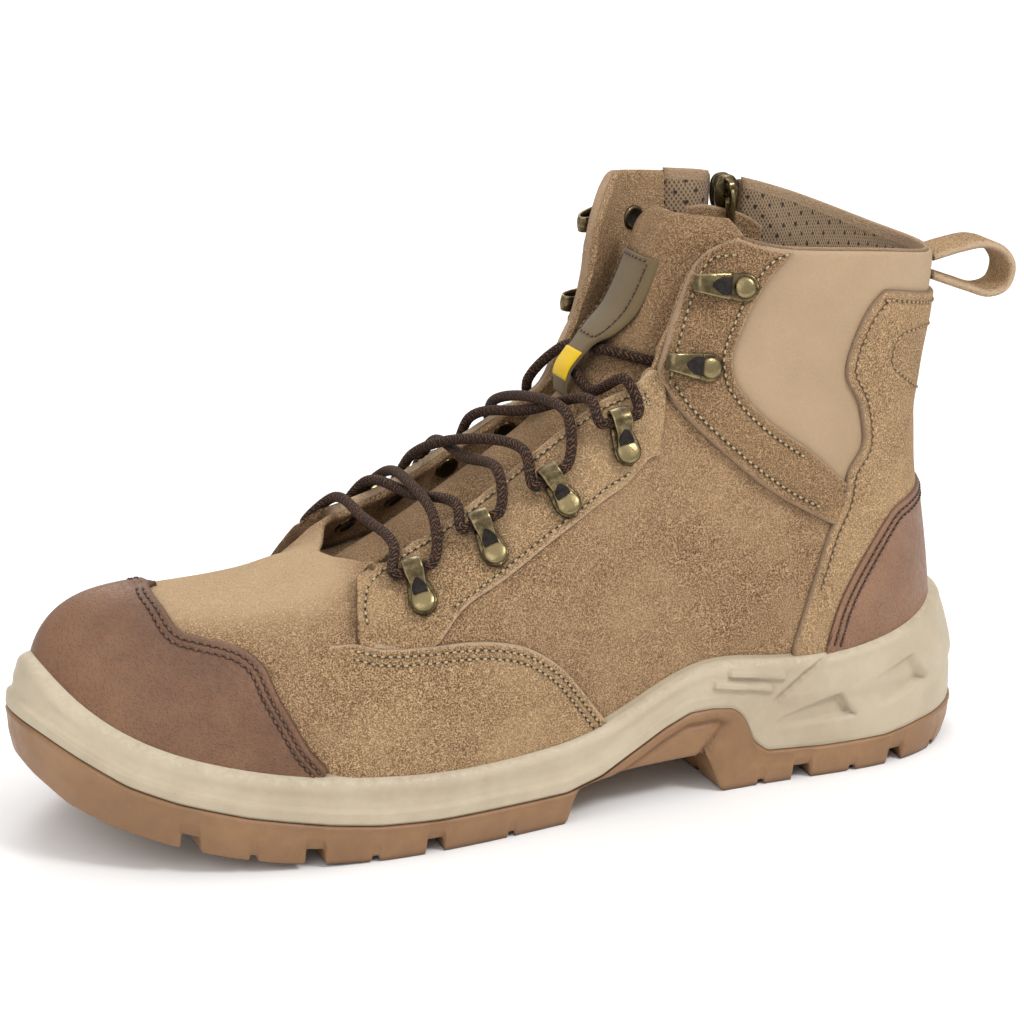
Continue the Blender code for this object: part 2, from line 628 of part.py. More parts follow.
# Overlays
def overlay(name, grid, columns, rows, kind, base=GAP, thick=OVERLAY, ridge=()):
    """A leather piece over the form; ridge lists pairs of columns whose top points are one."""
    t = np.array([p[0] for p in grid], float)
    v = np.array([p[1] for p in grid], float)
    outer = skin(t, v, np.full(len(t), base + thick))
    inner = skin(t, v, np.full(len(t), base))
    quads = sheet_quads(columns, rows)
    if ridge:
        same = {}
        for a, b in ridge:
            top_a, top_b = a * rows + rows - 1, b * rows + rows - 1
            same[top_b] = top_a
            for sheet in (outer, inner):
                sheet[top_a] = (sheet[top_a] + sheet[top_b]) / 2
        quads = [tuple(same.get(i, i) for i in quad) for quad in quads]
        quads = split_at(quads, (columns // 2) * rows + rows - 1)
    points, faces = closed_sheet(outer, inner, quads)
    return build(name, *tidy(points, faces), kind)


def over_rim(t):
    """Share just above the midsole's rim."""
    return height_share(t, station(t)[RIM_Z] + 1.0)


def toe_cap():
    half = [9, 9.3, 9.6, 10, 10.3, 10.5, 10.75, 11, 11.35, 11.7, 12, 12.35, 12.7]
    columns = half + [13.0] + [LOOP - t for t in reversed(half)]
    rows = 6
    grid = []
    for t in columns:
        low = over_rim(t)
        high = max(float(on_line(CAP_EDGE, one_side(t))), low + 0.01)
        grid += [(t, v) for v in np.linspace(low, high, rows)]
    ridge = [(half.index(t), len(columns) - 1 - half.index(t)) for t in (12.35, 12.7)]
    overlay("toe_cap", grid, len(columns), rows, "leather", base=0.75, ridge=ridge)


def heel_counter():
    half = [0.4, 0.8, 1.2, 1.6, 1.95, 2.2, 2.42, 2.55]
    columns = [-t for t in reversed(half)] + [0.0] + half
    rows = 5
    grid = []
    for t in columns:
        low = over_rim(t)
        high = max(float(on_line(COUNTER_EDGE, abs(t))), low + 0.02)
        grid += [(t, v) for v in np.linspace(low, high, rows)]
    overlay("heel_counter", grid, len(columns), rows, "leather", base=0.6 + OVERLAY + 0.6, thick=1.2)


def backstay():
    shares = [0.0, 0.18, 0.333, 0.423, 0.48, 0.55, 0.63, 0.70, 0.80, 0.90]
    fixed = [0.4, 0.8, 1.2, 1.6, 2.0]
    count = 2 * len(fixed) + 5
    grid = []
    for c in range(count):
        for share in shares:
            front = float(on_line(BACKSTAY_EDGE, share))
            side = fixed + [(fixed[-1] + front) / 2, front]
            half = [-t for t in reversed(side)] + [0.0] + side
            grid.append((half[c], max(share, over_rim(half[c]))))
    overlay("backstay", grid, count, len(shares), "suede", base=0.6)


def eyestays():
    columns = [5.15, 5.45, 6, 6.5, 7, 7.5, 8, 8.3, 8.5, 9, 9.3, 9.5, 9.58]
    for name, inner_side in (("eyestay_outer", False), ("eyestay_inner", True)):
        ts = [LOOP - t for t in reversed(columns)] if inner_side else columns
        grid = []
        for t in ts:
            side = float(one_side(t))
            grid += [(t, v) for v in np.linspace(on_line(EYESTAY_LOW, side), on_line(EYESTAY_TOP, side), 4)]
        overlay(name, grid, len(columns), 4, "suede", base=0.9 if inner_side else 0.6)


def facings():
    parts = np.linspace(0, 1, 5)
    for name, inner_side, rows in (("facing_outer", False, FACING), ("facing_inner", True, FACING[:8] + FACING_END)):
        grid = []
        for part in (parts[::-1] if inner_side else parts):
            for t0, v0, t1, v1 in reversed(rows):
                t = t0 + (t1 - t0) * part
                grid.append((LOOP - t if inner_side else t, v0 + (v1 - v0) * part))
        overlay(name, grid, len(parts), len(rows), "suede", base=1.1 if inner_side else 0.9)


# Lace hardware
FITTING_BASE = 1.2 + OVERLAY


def frame_at(rivet, tip):
    """Axes of a fitting: from its rivet to its tip, across, and off the surface it rests on."""
    start = form(*rivet)
    normal = form_normal(*rivet) + form_normal(*tip)
    along = form(*tip) - start
    length = np.linalg.norm(along)
    along = along / length
    normal = normal - along * normal.dot(along)
    normal /= np.linalg.norm(normal)
    across = np.cross(normal, along)
    way_t, way_v = tip[0] - rivet[0], tip[1] - rivet[1]
    highest = 0.0
    for step in np.linspace(-0.35, 1.1, 12):
        for aside in np.linspace(-0.12, 0.12, 5):
            t = rivet[0] + way_t * step + aside
            under = skin(t, rivet[1] + way_v * step, np.array(FITTING_BASE)) - start
            if abs(under.dot(across)) < 4.2 and -4.5 < under.dot(along) < length:
                highest = max(highest, under.dot(normal))
    return start + normal * (highest + GAP), along, across, normal, length


def prism(outline, hole, half_width):
    """Solid from an outline with an optional hole of the same count, extruded both ways along its middle axis."""
    count = len(outline)
    points, faces = [], []
    rings = [outline] + ([hole] if hole else [])
    for side in (-half_width, half_width):
        for ring in rings:
            points += [(a, side, n) for a, n in ring]
    stride = count * len(rings)
    for i in range(count):
        j = (i + 1) % count
        faces.append((j, i, stride + i, stride + j))
        if hole:
            faces.append((count + i, count + j, stride + count + j, stride + count + i))
            faces.append((i, j, count + j, count + i))
            faces.append((stride + i, stride + count + i, stride + count + j, stride + j))
    if not hole:
        faces.append(tuple(range(count)))
        faces.append(tuple(reversed(range(stride, stride + count))))
    return np.array(points), faces


def placed(points, frame):
    start, along, across, normal = frame[:4]
    return np.array([start + along * a + across * b + normal * c for a, b, c in points])


def rivet_head(radius, height, count=7):
    """Low dome on a fitting, sunk a little into it."""
    rings = ((radius, -0.5), (radius, 0.35 * height), (0.62 * radius, 0.85 * height))
    points, faces = [], []
    for r, z in rings:
        points += [(r * math.cos(2 * math.pi * i / count), r * math.sin(2 * math.pi * i / count), z) for i in range(count)]
    points.append((0, 0, height))
    for k in range(len(rings) - 1):
        for i in range(count):
            j = (i + 1) % count
            faces.append((k * count + i, k * count + j, (k + 1) * count + j, (k + 1) * count + i))
    last = (len(rings) - 1) * count
    for i in range(count):
        faces.append((last + i, last + (i + 1) % count, len(points) - 1))
    faces.append(tuple(reversed(range(count))))
    return np.array(points), faces


EYE_RADIUS = 3.6
EYE_HOLE = 2.6
LOOP_HALF = 2.9
LEG_BACK = -4.0


def loop_solid(length):
    """A leg that ends in a round eye, from the rivet's place; also the eye's middle."""
    centre = (length - EYE_RADIUS + 0.6, EYE_RADIUS)
    foot = 180 + math.degrees(math.asin((EYE_RADIUS - STRIP) / EYE_RADIUS))
    angles = [math.radians(d) for d in (foot, 270, 315, 0, 45, 90, 135, 180)]
    count = len(angles)
    points, faces = [], []
    for side in (-LOOP_HALF, LOOP_HALF):
        for radius in (EYE_RADIUS, EYE_HOLE):
            for angle in angles:
                points.append((centre[0] + radius * math.cos(angle), side, centre[1] + radius * math.sin(angle)))
        points += [(LEG_BACK, side, 0.0), (LEG_BACK, side, STRIP)]
    stride = 2 * count + 2
    low, high = 2 * count, 2 * count + 1
    for i in range(count):
        j = (i + 1) % count
        if i:
            faces.append((j, i, stride + i, stride + j))
        faces.append((count + i, count + j, stride + count + j, stride + count + i))
        faces.append((i, j, count + j, count + i))
        faces.append((stride + i, stride + count + i, stride + count + j, stride + j))
    for a, b in ((low, 1), (0, high), (high, low)):
        faces.append((b, a, stride + a, stride + b))
    faces.append((low, 1, 0, high))
    faces.append((stride + high, stride, stride + 1, stride + low))
    return np.array(points), faces, centre


def lace_loops():
    """Eight loops; returns each eye's middle and the way through it."""
    eyes = {}
    for k, (rt, rv, tt, tv, _) in enumerate(LACE_LOOPS, 1):
        for side, mirror in (("outer", False), ("inner", True)):
            rivet, tip = ((LOOP - rt, rv), (LOOP - tt, tv)) if mirror else ((rt, rv), (tt, tv))
            frame = frame_at(rivet, tip)
            points, faces, centre = loop_solid(min(frame[4], 12.5))
            name = f"lace_loop_{side}_{k}"
            made = build(name, placed(points, frame), faces, "metal")
            head, head_faces = rivet_head(3.6, 1.9)
            head = head + np.array([-0.2, 0, STRIP])
            modify(made, build(f"{name}_rivet", placed(head, frame), head_faces, "metal"), "UNION")
            start, along, across, normal = frame[:4]
            eyes[(side, k)] = (start + along * centre[0] + normal * centre[1], across)
    return eyes


def lace_hooks():
    for k, (rt, rv, tt, tv) in enumerate(LACE_HOOKS, 1):
        for side, mirror in (("outer", False), ("inner", True)):
            rivet, tip = ((LOOP - rt, rv), (LOOP - tt, tv)) if mirror else ((rt, rv), (tt, tv))
            frame = frame_at(rivet, tip)
            length = min(frame[4], 15.0)
            outline = [
                (-4.2, 0.0), (length - 2.0, 0.0), (length, 1.2), (length + 0.6, 3.4), (length - 0.8, 5.4),
                (length - 3.2, 6.0), (length - 6.0, 5.2), (length - 5.6, 4.0), (length - 3.0, 4.7), (length - 1.4, 3.2),
                (length - 2.4, STRIP), (-4.2, STRIP),
            ]
            points, faces = prism(outline, None, 3.6)
            name = f"lace_hook_{side}_{k}"
            made = build(name, placed(points, frame), faces, "metal")
            head, head_faces = rivet_head(3.8, 1.9)
            head = head + np.array([0, 0, STRIP])
            modify(made, build(f"{name}_rivet", placed(head, frame), head_faces, "metal"), "UNION")


# Lace
def tube(path, radius, sides=5):
    """A closed cord along a path."""
    path = np.asarray(path, float)
    tangent = np.gradient(path, axis=0)
    tangent /= np.linalg.norm(tangent, axis=1, keepdims=True)
    side = np.cross(tangent[0], (0, 0, 1))
    side /= np.linalg.norm(side)
    points, faces = [], []
    for p, d in zip(path, tangent):
        side = side - d * side.dot(d)
        side /= np.linalg.norm(side)
        up = np.cross(d, side)
        for i in range(sides):
            angle = 2 * math.pi * i / sides
            points.append(p + radius * (side * math.cos(angle) + up * math.sin(angle)))
    rings = len(path)
    for k in range(rings - 1):
        for i in range(sides):
            j = (i + 1) % sides
            faces.append((k * sides + i, k * sides + j, (k + 1) * sides + j, (k + 1) * sides + i))
    faces.append(tuple(reversed(range(sides))))
    faces.append(tuple(range((rings - 1) * sides, rings * sides)))
    return np.array(points), faces


def smooth_path(points, steps, straight=()):
    """Curve through points, by centripetal spans; straight lists spans to leave straight, counted from 1."""
    points = [np.asarray(p, float) for p in points]
    points = [2 * points[0] - points[1]] + points + [2 * points[-1] - points[-2]]
    path = []
    for k in range(1, len(points) - 2):
        p0, p1, p2, p3 = points[k - 1:k + 3]
        t0 = 0.0
        t1 = t0 + math.sqrt(np.linalg.norm(p1 - p0))
        t2 = t1 + math.sqrt(np.linalg.norm(p2 - p1))
        t3 = t2 + math.sqrt(np.linalg.norm(p3 - p2))
        for t in np.linspace(t1, t2, 1 if k in straight else steps, endpoint=False):
            a1 = (t1 - t) / (t1 - t0) * p0 + (t - t0) / (t1 - t0) * p1
            a2 = (t2 - t) / (t2 - t1) * p1 + (t - t1) / (t2 - t1) * p2
            a3 = (t3 - t) / (t3 - t2) * p2 + (t - t2) / (t3 - t2) * p3
            b1 = (t2 - t) / (t2 - t0) * a1 + (t - t0) / (t2 - t0) * a2
            b2 = (t3 - t) / (t3 - t1) * a2 + (t - t1) / (t3 - t1) * a3
            path.append((t2 - t) / (t2 - t1) * b1 + (t - t1) / (t2 - t1) * b2)
    path.append(points[-2])
    return path


def lace(eyes):
    """One cord: a bar across the first pair, then crossed up to the fourth and on under the keeper strip."""
    over = FITTING_BASE + LACE_RADIUS + 0.6

    def at_edge(side, t):
        place = (t if side == "outer" else LOOP - t, edge_share(t) - 0.015)
        upward = form_normal(*place) + np.array([0.0, 0.0, 1.0])
        return form(*place) + upward / np.linalg.norm(upward) * over

    def pass_loop(side, k):
        middle, across = eyes[(side, k)]
        way = across if across[0] < 0 else -across
        t, turn = LACE_LOOPS[k - 1][2], LACE_LOOPS[k - 1][4]
        ends = [middle - way * (LOOP_HALF + 2.7), middle + way * (LOOP_HALF + 2.7)]
        return [at_edge(side, t + turn)] + ends + [at_edge(side, t - turn)]

    def strand(side, height):
        points = []
        for k in range(1, 5):
            steps = pass_loop(side, k)
            if k > 1:
                middle = (points[-1] + steps[0]) / 2
                middle[2] += height
                points.append(middle)
            points += steps
            side = "inner" if side == "outer" else "outer"
        return points

    rise = LACE_RADIUS + 0.8
    outer = strand("outer", 4.2) + [off_tongue(row, across, rise + up) for row, across, up in OVER_KEEPER]
    inner = strand("inner", -0.4) + [off_tongue(row, across, rise + up) for row, across, up in UNDER_KEEPER]
    bar = (outer[0] + inner[0]) / 2
    bar[2] += 1.0
    points = list(reversed(outer)) + [bar] + inner
    middle = len(outer) + 1
    eyes_at = [2 + 5 * k for k in range(4)]
    straight = [middle + k for k in eyes_at] + [middle - k - 1 for k in eyes_at]
    path = smooth_path(points, 2, straight)
    build("lace", *tube(path, LACE_RADIUS), "cord")


# Pull loop and zip
def pull_loop():
    path = np.array(smooth_path([(s, 0, z) for s, z in PULL_LOOP], 2))
    tangent = np.gradient(path, axis=0)
    tangent /= np.linalg.norm(tangent, axis=1, keepdims=True)
    normal = np.stack([-tangent[:, 2], np.zeros(len(path)), tangent[:, 0]], 1)
    half = PULL_LOOP_THICKNESS / 2
    points, faces = [], []
    for p, n in zip(path, normal):
        for away, wide in ((half, 1), (half, -1), (-half, -1), (-half, 1)):
            points.append(p + n * away + np.array([0, wide * PULL_LOOP_WIDTH / 2, 0]))
    for k in range(len(path) - 1):
        for i in range(4):
            j = (i + 1) % 4
            faces.append((4 * k + i, 4 * k + j, 4 * k + 4 + j, 4 * k + 4 + i))
    faces.append((3, 2, 1, 0))
    end = 4 * (len(path) - 1)
    faces.append((end, end + 1, end + 2, end + 3))
    build("pull_loop", points, faces, "suede")


def zip_tape(shares):
    """Tape with its chain, in the slot up to the slider."""
    across = (-1.0, -0.34, -0.26, 0.26, 0.34, 1.0)
    outside = (-0.7, -0.7, 0.5, 0.5, -0.7, -0.7)
    inside = (-1.7, -1.7, -2.6, -2.6, -1.7, -1.7)
    low = shares[ZIP_ROW] + 0.006
    rows = np.linspace(low, ZIP_TOP_V, 7)
    half = ZIP_HALF - 0.018
    outer, inner = [], []
    for k, part in enumerate(across):
        for v in rows:
            t = ZIP_T + part * half
            outer.append(skin(t, v, np.array(outside[k])))
            inner.append(skin(t, v, np.array(inside[k])))
    build("zip", *closed_sheet(np.array(outer), np.array(inner), sheet_quads(len(across), len(rows))), "cloth")


def slider_place():
    """Middle of the slider's inner face and the hinge of its pull tab."""
    body = skin(ZIP_T, 0.955, np.array(-1.6))
    face = body + np.array([0, SLIDER[1] / 2, 0])
    hinge = face + np.array([0, 2.2, 2.0])
    return body, face, hinge


def zip_slider():
    body, face, hinge = slider_place()
    made = build("zip_slider", *box_points(body, SLIDER), "metal")
    reach = hinge[1] - face[1] + BAR / 2 + 0.5
    outline = [
        (-0.4, -2.6), (reach + 1.2, -2.6), (reach + 1.2, 2.6), (-0.4, 2.6),
    ]
    hole = [(0.25, -1.4), (reach, -1.4), (reach, 1.4), (0.25, 1.4)]
    points, faces = prism(outline, hole, 1.0)
    turned = np.array([(face[0] + b, face[1] + a, hinge[2] + n) for a, b, n in points])
    faces = [tuple(reversed(f)) for f in faces]
    modify(made, build("zip_slider_bridge", turned, faces, "metal"), "UNION")


def zip_pull():
    _, _, hinge = slider_place()
    width, thick, length = PULL_TAB
    half = width / 2
    outline = [
        (-length, -half + 1.2), (-2.0, -half), (BAR / 2, -half), (BAR / 2, half), (-2.0, half), (-length, half - 1.2),
    ]
    hole = [(-5.2, -1.5), (-3.0, -1.6), (-BAR / 2, -1.6), (-BAR / 2, 1.6), (-3.0, 1.6), (-5.2, 1.5)]
    points, faces = prism(outline, hole, thick / 2)
    turned = np.array([(hinge[0] + n, hinge[1] + b, hinge[2] + a) for a, b, n in points])
    faces = [tuple(reversed(f)) for f in faces]
    build("zip_pull", turned, faces, "metal")


remove_everything()
wall_shares = upper()
midsole()
outsole()
insole()
tongue()
tongue_label()
toe_cap()
backstay()
heel_counter()
eyestays()
facings()
lace(lace_loops())
lace_hooks()
pull_loop()
zip_tape(wall_shares[all_columns().index(LOOP - 3.17)])
zip_slider()
zip_pull()
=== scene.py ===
"""Looks of the high-top safety shoe: leather, rubber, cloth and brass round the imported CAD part.

Sizes are millimetres until place() turns them into metres. s runs from the heel's back to the toe, y to
the outer side, z up. The upper is one form: section planes fan out from the feather line (v = 0) to the
top line (v = 1), and t counts the sections round the shoe: 0 heel, TOE at the toe's tip, then back along
the inner side.
"""

import math

import bpy
import numpy as np
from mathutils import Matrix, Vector


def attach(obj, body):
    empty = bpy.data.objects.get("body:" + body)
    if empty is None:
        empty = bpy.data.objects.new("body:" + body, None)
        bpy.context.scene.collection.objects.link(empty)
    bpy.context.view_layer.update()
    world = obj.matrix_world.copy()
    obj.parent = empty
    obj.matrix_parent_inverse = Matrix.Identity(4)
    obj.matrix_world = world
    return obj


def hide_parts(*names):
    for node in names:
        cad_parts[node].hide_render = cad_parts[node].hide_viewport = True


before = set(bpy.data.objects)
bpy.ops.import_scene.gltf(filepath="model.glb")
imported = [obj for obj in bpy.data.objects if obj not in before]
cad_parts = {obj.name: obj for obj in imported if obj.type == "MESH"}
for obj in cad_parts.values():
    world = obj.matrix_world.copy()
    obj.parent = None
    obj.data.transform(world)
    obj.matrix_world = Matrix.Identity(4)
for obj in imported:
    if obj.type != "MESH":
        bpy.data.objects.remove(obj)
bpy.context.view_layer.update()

MM = 0.001
ORIGIN = (141.56, 0.0, -1.7)

# Driving sizes
GAP = 0.45
WALL = 2.4
COLLAR_PADDING = 2.6
OVERLAY = 1.3
RIM_WIDTH = 1.9
PLATE_INSET = 9.0
GROOVE_DEPTH = 4.6
LACE_RADIUS = 1.85
STRIP = 1.1

# One row a section plane, from the heel's back to the toe's tip
STATION_COLUMNS = (
    "foot_s", "foot_outer", "foot_inner", "foot_z",
    "top_s_outer", "top_y_outer", "top_z_outer",
    "top_s_inner", "top_y_inner", "top_z_inner",
    "round", "nose", "box_outer", "box_inner", "bulge", "waist", "rim_z", "flare",
)
STATIONS = (
    (8.5, 0.0, 0.0, 26.0, 8, 0, 156.0, 8, 0, 156.0, 0.00, 0.0, 2.0, 2.0, -0.5, 7.0, 48.0, 10.0),
    (16, 20.5, -20.0, 26.0, 15, 18.5, 157.0, 15, -18.5, 158.5, 0.00, 0.0, 2.0, 2.0, 0.0, 5.5, 46.5, 9.0),
    (38, 34.0, -32.5, 26.0, 35, 30, 161.0, 34, -30.5, 166.0, 0.10, 0.0, 2.0, 2.0, 1.5, 2.5, 41.5, 6.4),
    (72, 36.0, -33.0, 26.0, 62, 32, 164.0, 62, -32.5, 175.0, 0.25, 0.0, 2.0, 2.0, 2.0, 1.0, 38.3, 5.5),
    (103, 37.5, -31.5, 26.5, 85, 25, 169.0, 90, -29, 180.5, 0.60, 0.0, 2.0, 2.0, 1.0, 0.0, 39.8, 5.5),
    (133, 40.5, -32.5, 23.5, 104, 0, 175.0, 110, 0, 181.0, 1.00, 0.0, 2.1, 2.1, 0.0, 0.0, 27.5, 5.5),
    (160, 45.0, -36.0, 17.5, 110, 0, 153.0, 114, 0, 156.0, 1.00, 0.0, 2.2, 2.0, 0.0, 0.0, 23.0, 5.5),
    (185, 48.5, -42.5, 15.5, 124, 0, 134.0, 126, 0, 135.0, 1.00, 0.0, 2.2, 2.0, 0.0, 0.0, 22.3, 5.5),
    (208, 49.5, -48.0, 15.2, 152, 0, 112.0, 153, 0, 112.0, 1.00, 0.0, 2.3, 2.0, 0.0, 0.0, 23.3, 5.5),
    (232, 47.5, -49.5, 16.8, 183, 0, 91.5, 183, 0, 91.5, 1.00, 0.0, 2.4, 1.9, 0.0, 0.0, 25.5, 5.5),
    (255, 42.0, -46.0, 20.5, 210, -1, 78.0, 210, -1, 78.0, 1.00, 0.1, 2.5, 1.9, 0.0, 0.0, 29.3, 5.8),
    (277, 31.0, -36.0, 26.5, 234, -2, 73.0, 234, -2, 73.0, 1.00, 0.4, 2.7, 2.1, 0.0, 0.0, 36.0, 6.2),
    (292, 14.0, -20.0, 33.5, 254, -3, 72.3, 254, -3, 72.3, 1.00, 0.8, 2.9, 2.6, 0.0, 0.0, 47.0, 6.8),
    (298, -3.0, -3.0, 36.5, 264, -3, 72.3, 264, -3, 72.3, 1.00, 1.0, 3.0, 3.0, 0.0, 0.0, 56.5, 7.0),
)
TOE = len(STATIONS) - 1
LOOP = 2 * TOE

# Edge of the collar and throat: t, v
THROAT_EDGE = (
    (4.00, 1.00), (4.30, 0.87), (4.55, 0.735), (4.80, 0.585), (5.10, 0.505), (5.55, 0.53), (6.20, 0.615),
    (6.90, 0.68), (7.80, 0.71), (8.70, 0.70), (9.20, 0.70), (9.60, 0.78), (9.85, 0.90), (10.0, 1.00),
)
# The inner side: its lacing edge sits lower (share), its flap further forward and its front corner
# stands up (mm)
INNER_DROP = (
    (5.0, 0.0), (5.3, 0.06), (5.6, 0.10), (6.2, 0.11), (7.0, 0.135), (7.5, 0.135), (8.0, 0.11), (8.6, 0.035),
    (9.2, 0.0),
)
INNER_FLAP = ((3.30, 0.0), (4.00, 11.5), (4.60, 11.5), (5.15, 0.0))
INNER_CORNER = ((8.5, 0.0), (9.0, 2.4), (9.35, 3.6), (9.60, 3.2), (9.85, 0.0))
# Line between the midsole and the outsole at the edge: s, z
JOINT_LINE = (
    (0, 11.0), (23, 10.5), (37, 8.8), (60, 8.8), (79, 9.9), (84, 14.0), (87, 22.0), (90.5, 25.4), (98, 26.6),
    (106, 26.5), (115, 23.0), (123, 18.8), (137, 11.7), (149, 8.8), (192, 8.9), (211, 10.0), (226, 12.0),
    (249, 16.2), (268, 21.0), (281, 25.6), (293, 32.5), (301, 37.5), (306, 40.0),
)
# The same line away from the edge, under the foot: s, z
PLATE_LINE = (
    (0, 10.0), (25, 8.8), (80, 8.8), (92, 16.5), (100, 18.5), (125, 17.0), (140, 11.5), (152, 8.8),
    (215, 8.8), (240, 9.6), (255, 12.0), (270, 15.5), (285, 21.0), (295, 27.0), (306, 33.0),
)
# Underside of the outsole: s, z
GROUND_LINE = (
    (-2, 5.0), (8, 0.0), (16, -1.7), (94.0, -1.7), (99.5, 11.5), (145.0, 9.8), (148.5, -1.7), (208, -1.7),
    (224, -0.7), (240, 1.1), (255, 3.8), (270, 7.6), (285, 12.3), (295, 16.8), (302, 23.0), (306, 28.5),
)
# Side of the midsole from its lower edge to its rim: share of height, share of the way in, step out.
# The step out is in the solid; here it only spaces the curve through the rows.
SOLE_WALL = (
    (0.00, 0.00, 0.0), (0.06, 0.00, 0.8), (0.25, 0.04, 0.8), (0.33, 0.10, -0.3), (0.55, 0.22, 0.3),
    (0.88, 0.60, 0.6), (1.00, 1.00, 0.0),
)
# Grooves across the outsole: s, width
GROOVES = ((265, 5.0), (230.1, 5.5), (193.3, 5.5), (66.5, 6.0), (33.0, 5.5))
# Overlays
CAP_EDGE = (
    (8.97, 0.06), (9.43, 0.123), (10.03, 0.263), (10.35, 0.383), (10.58, 0.45), (10.80, 0.49), (11.08, 0.523),
    (11.28, 0.557), (11.60, 0.727), (12.00, 0.90), (12.35, 1.00),
)
COUNTER_EDGE = (
    (0.0, 0.445), (1.0, 0.435), (1.6, 0.41), (1.95, 0.377), (2.38, 0.253), (2.55, 0.17), (2.62, 0.10),
)
BACKSTAY_EDGE = (
    (0.100, 2.94), (0.22, 2.80), (0.333, 2.65), (0.410, 2.50), (0.465, 2.46), (0.54, 2.28), (0.617, 2.34),
    (0.70, 2.53), (0.83, 2.35), (0.90, 2.10),
)
# Hook flap and its diagonal band, one row across: back t, v, then front t, v
FACING = (
    (3.30, 0.995, 3.98, 0.995), (3.50, 0.93, 4.22, 0.895), (3.72, 0.82, 4.48, 0.765),
    (3.88, 0.71, 4.68, 0.645), (3.97, 0.63, 4.88, 0.545), (3.92, 0.59, 5.02, 0.485),
    (3.83, 0.578, 4.84, 0.465), (3.70, 0.565, 4.60, 0.448), (3.20, 0.533, 3.90, 0.433),
    (2.95, 0.515, 3.45, 0.412), (2.56, 0.460, 2.82, 0.372),
)
# The inner band is shorter: the flap's rows, then one row that ends it
FLAP_ROWS = 6
INNER_FACING_ROWS = 8
FACING_END = ((3.30, 0.54, 3.98, 0.438),)

# Tongue, one row a section from the throat's base up
TONGUE_COLUMNS = ("s", "z", "outer", "inner", "edge_s_outer", "edge_s_inner", "edge_z", "thick")
TONGUE = (
    (208, 71.5, 17, 17, 207, 207, 66.0, 2.4),
    (190, 80.0, 25, 23, 184, 184, 69.0, 2.8),
    (165, 95.0, 29, 25, 153, 153, 80.0, 3.4),
    (143, 108.5, 28, 24, 129, 129, 95.0, 4.0),
    (127, 121.0, 26, 23, 111, 112, 111.0, 4.6),
    (115, 136.0, 25, 23, 97, 102, 129.0, 5.2),
    (107, 153.0, 24, 23, 86, 99, 150.0, 5.8),
    (101, 168.0, 24, 22, 80, 98, 165.5, 5.6),
    (98, 174.0, 19, 17, 82, 96, 172.0, 4.2),
)
# Keeper strip on the tongue, over the lace: tongue row, half-width, height off the tongue
LABEL = (
    (3.76, 4.2, 0.5), (3.92, 4.2, 4.0), (4.12, 4.2, 5.9), (4.40, 4.4, 6.1), (4.72, 5.0, 5.8),
    (5.02, 9.6, 4.2), (5.40, 11.8, 1.8), (5.85, 11.8, 0.9), (6.50, 11.6, 0.6),
)

# Lace hardware on the outer side: rivet t, v, then tip t, v; for a loop, also how far in t the lace runs on
LACE_LOOPS = (
    (8.70, 0.427, 9.00, 0.593, 0.22), (7.95, 0.450, 8.33, 0.623, 0.22),
    (7.05, 0.450, 7.58, 0.600, 0.26), (5.80, 0.423, 6.60, 0.600, 0.42),
)
LACE_HOOKS = ((3.88, 0.827, 4.53, 0.710), (4.28, 0.563, 4.93, 0.510))

# Lace past the fourth pair, under the keeper strip: tongue row, across, height
OVER_KEEPER = (
    (4.42, -0.56, 5.0), (4.62, -0.26, 0.4), (4.70, 0.10, 0.0), (4.78, 0.45, 0.0), (4.88, 0.80, 0.0),
)
UNDER_KEEPER = (
    (4.05, 0.45, 0.4), (4.18, 0.05, 0.0), (4.28, -0.28, 0.0), (4.48, -0.55, -0.2), (4.78, -0.70, 0.0),
    (5.00, -0.82, 0.0),
)

# Pull loop at the back: s, z along the strap's middle line
PULL_LOOP = (
    (7.3, 152.0), (-3.0, 154.0), (-11.0, 154.6), (-17.6, 152.2), (-21.4, 146.8), (-19.6, 140.4),
    (-13.6, 138.6), (-5.0, 141.4), (7.3, 146.2),
)
PULL_LOOP_WIDTH = 15.0
PULL_LOOP_THICKNESS = 2.6

# Zip on the inner side
ZIP_T = LOOP - 3.0
ZIP_HALF = 0.17
ZIP_TOP_V = 0.890
SLIDER = (8.0, 5.0, 12.0)
PULL_TAB = (6.6, 1.3, 20.0)
BAR = 1.2


# Shared helpers
def unit(vectors):
    """Vectors of length 1, along the last axis."""
    return vectors / np.linalg.norm(vectors, axis=-1, keepdims=True)


def smooth_step(x):
    """0 to 1 with soft ends."""
    x = np.clip(x, 0, 1)
    return x * x * (3 - 2 * x)


def rounded(x):
    """0 to 1 along a quarter circle, steep at first: a rounded edge."""
    return np.sqrt(1 - (1 - np.clip(x, 0, 1)) ** 2)


def bell(x, width):
    """A smooth hump of height 1 about 0."""
    return np.exp(-(x / width) ** 2)


# Form of the shoe
TABLE = {name: np.array([row[i] for row in STATIONS], float) for i, name in enumerate(STATION_COLUMNS)}


def round_the_shoe(outer, inner):
    """Knots of one column, out along the outer side and back along the inner."""
    return np.concatenate([TABLE[outer], TABLE[inner][TOE - 1:0:-1]])


KNOTS = np.stack([
    round_the_shoe("foot_s", "foot_s"), round_the_shoe("foot_outer", "foot_inner"),
    round_the_shoe("foot_z", "foot_z"), round_the_shoe("top_s_outer", "top_s_inner"),
    round_the_shoe("top_y_outer", "top_y_inner"), round_the_shoe("top_z_outer", "top_z_inner"),
    *[round_the_shoe(name, name) for name in ("round", "nose")],
    round_the_shoe("box_outer", "box_inner"),
    *[round_the_shoe(name, name) for name in ("bulge", "waist", "rim_z", "flare")],
], axis=1)
RIM_Z, FLARE = 11, 12
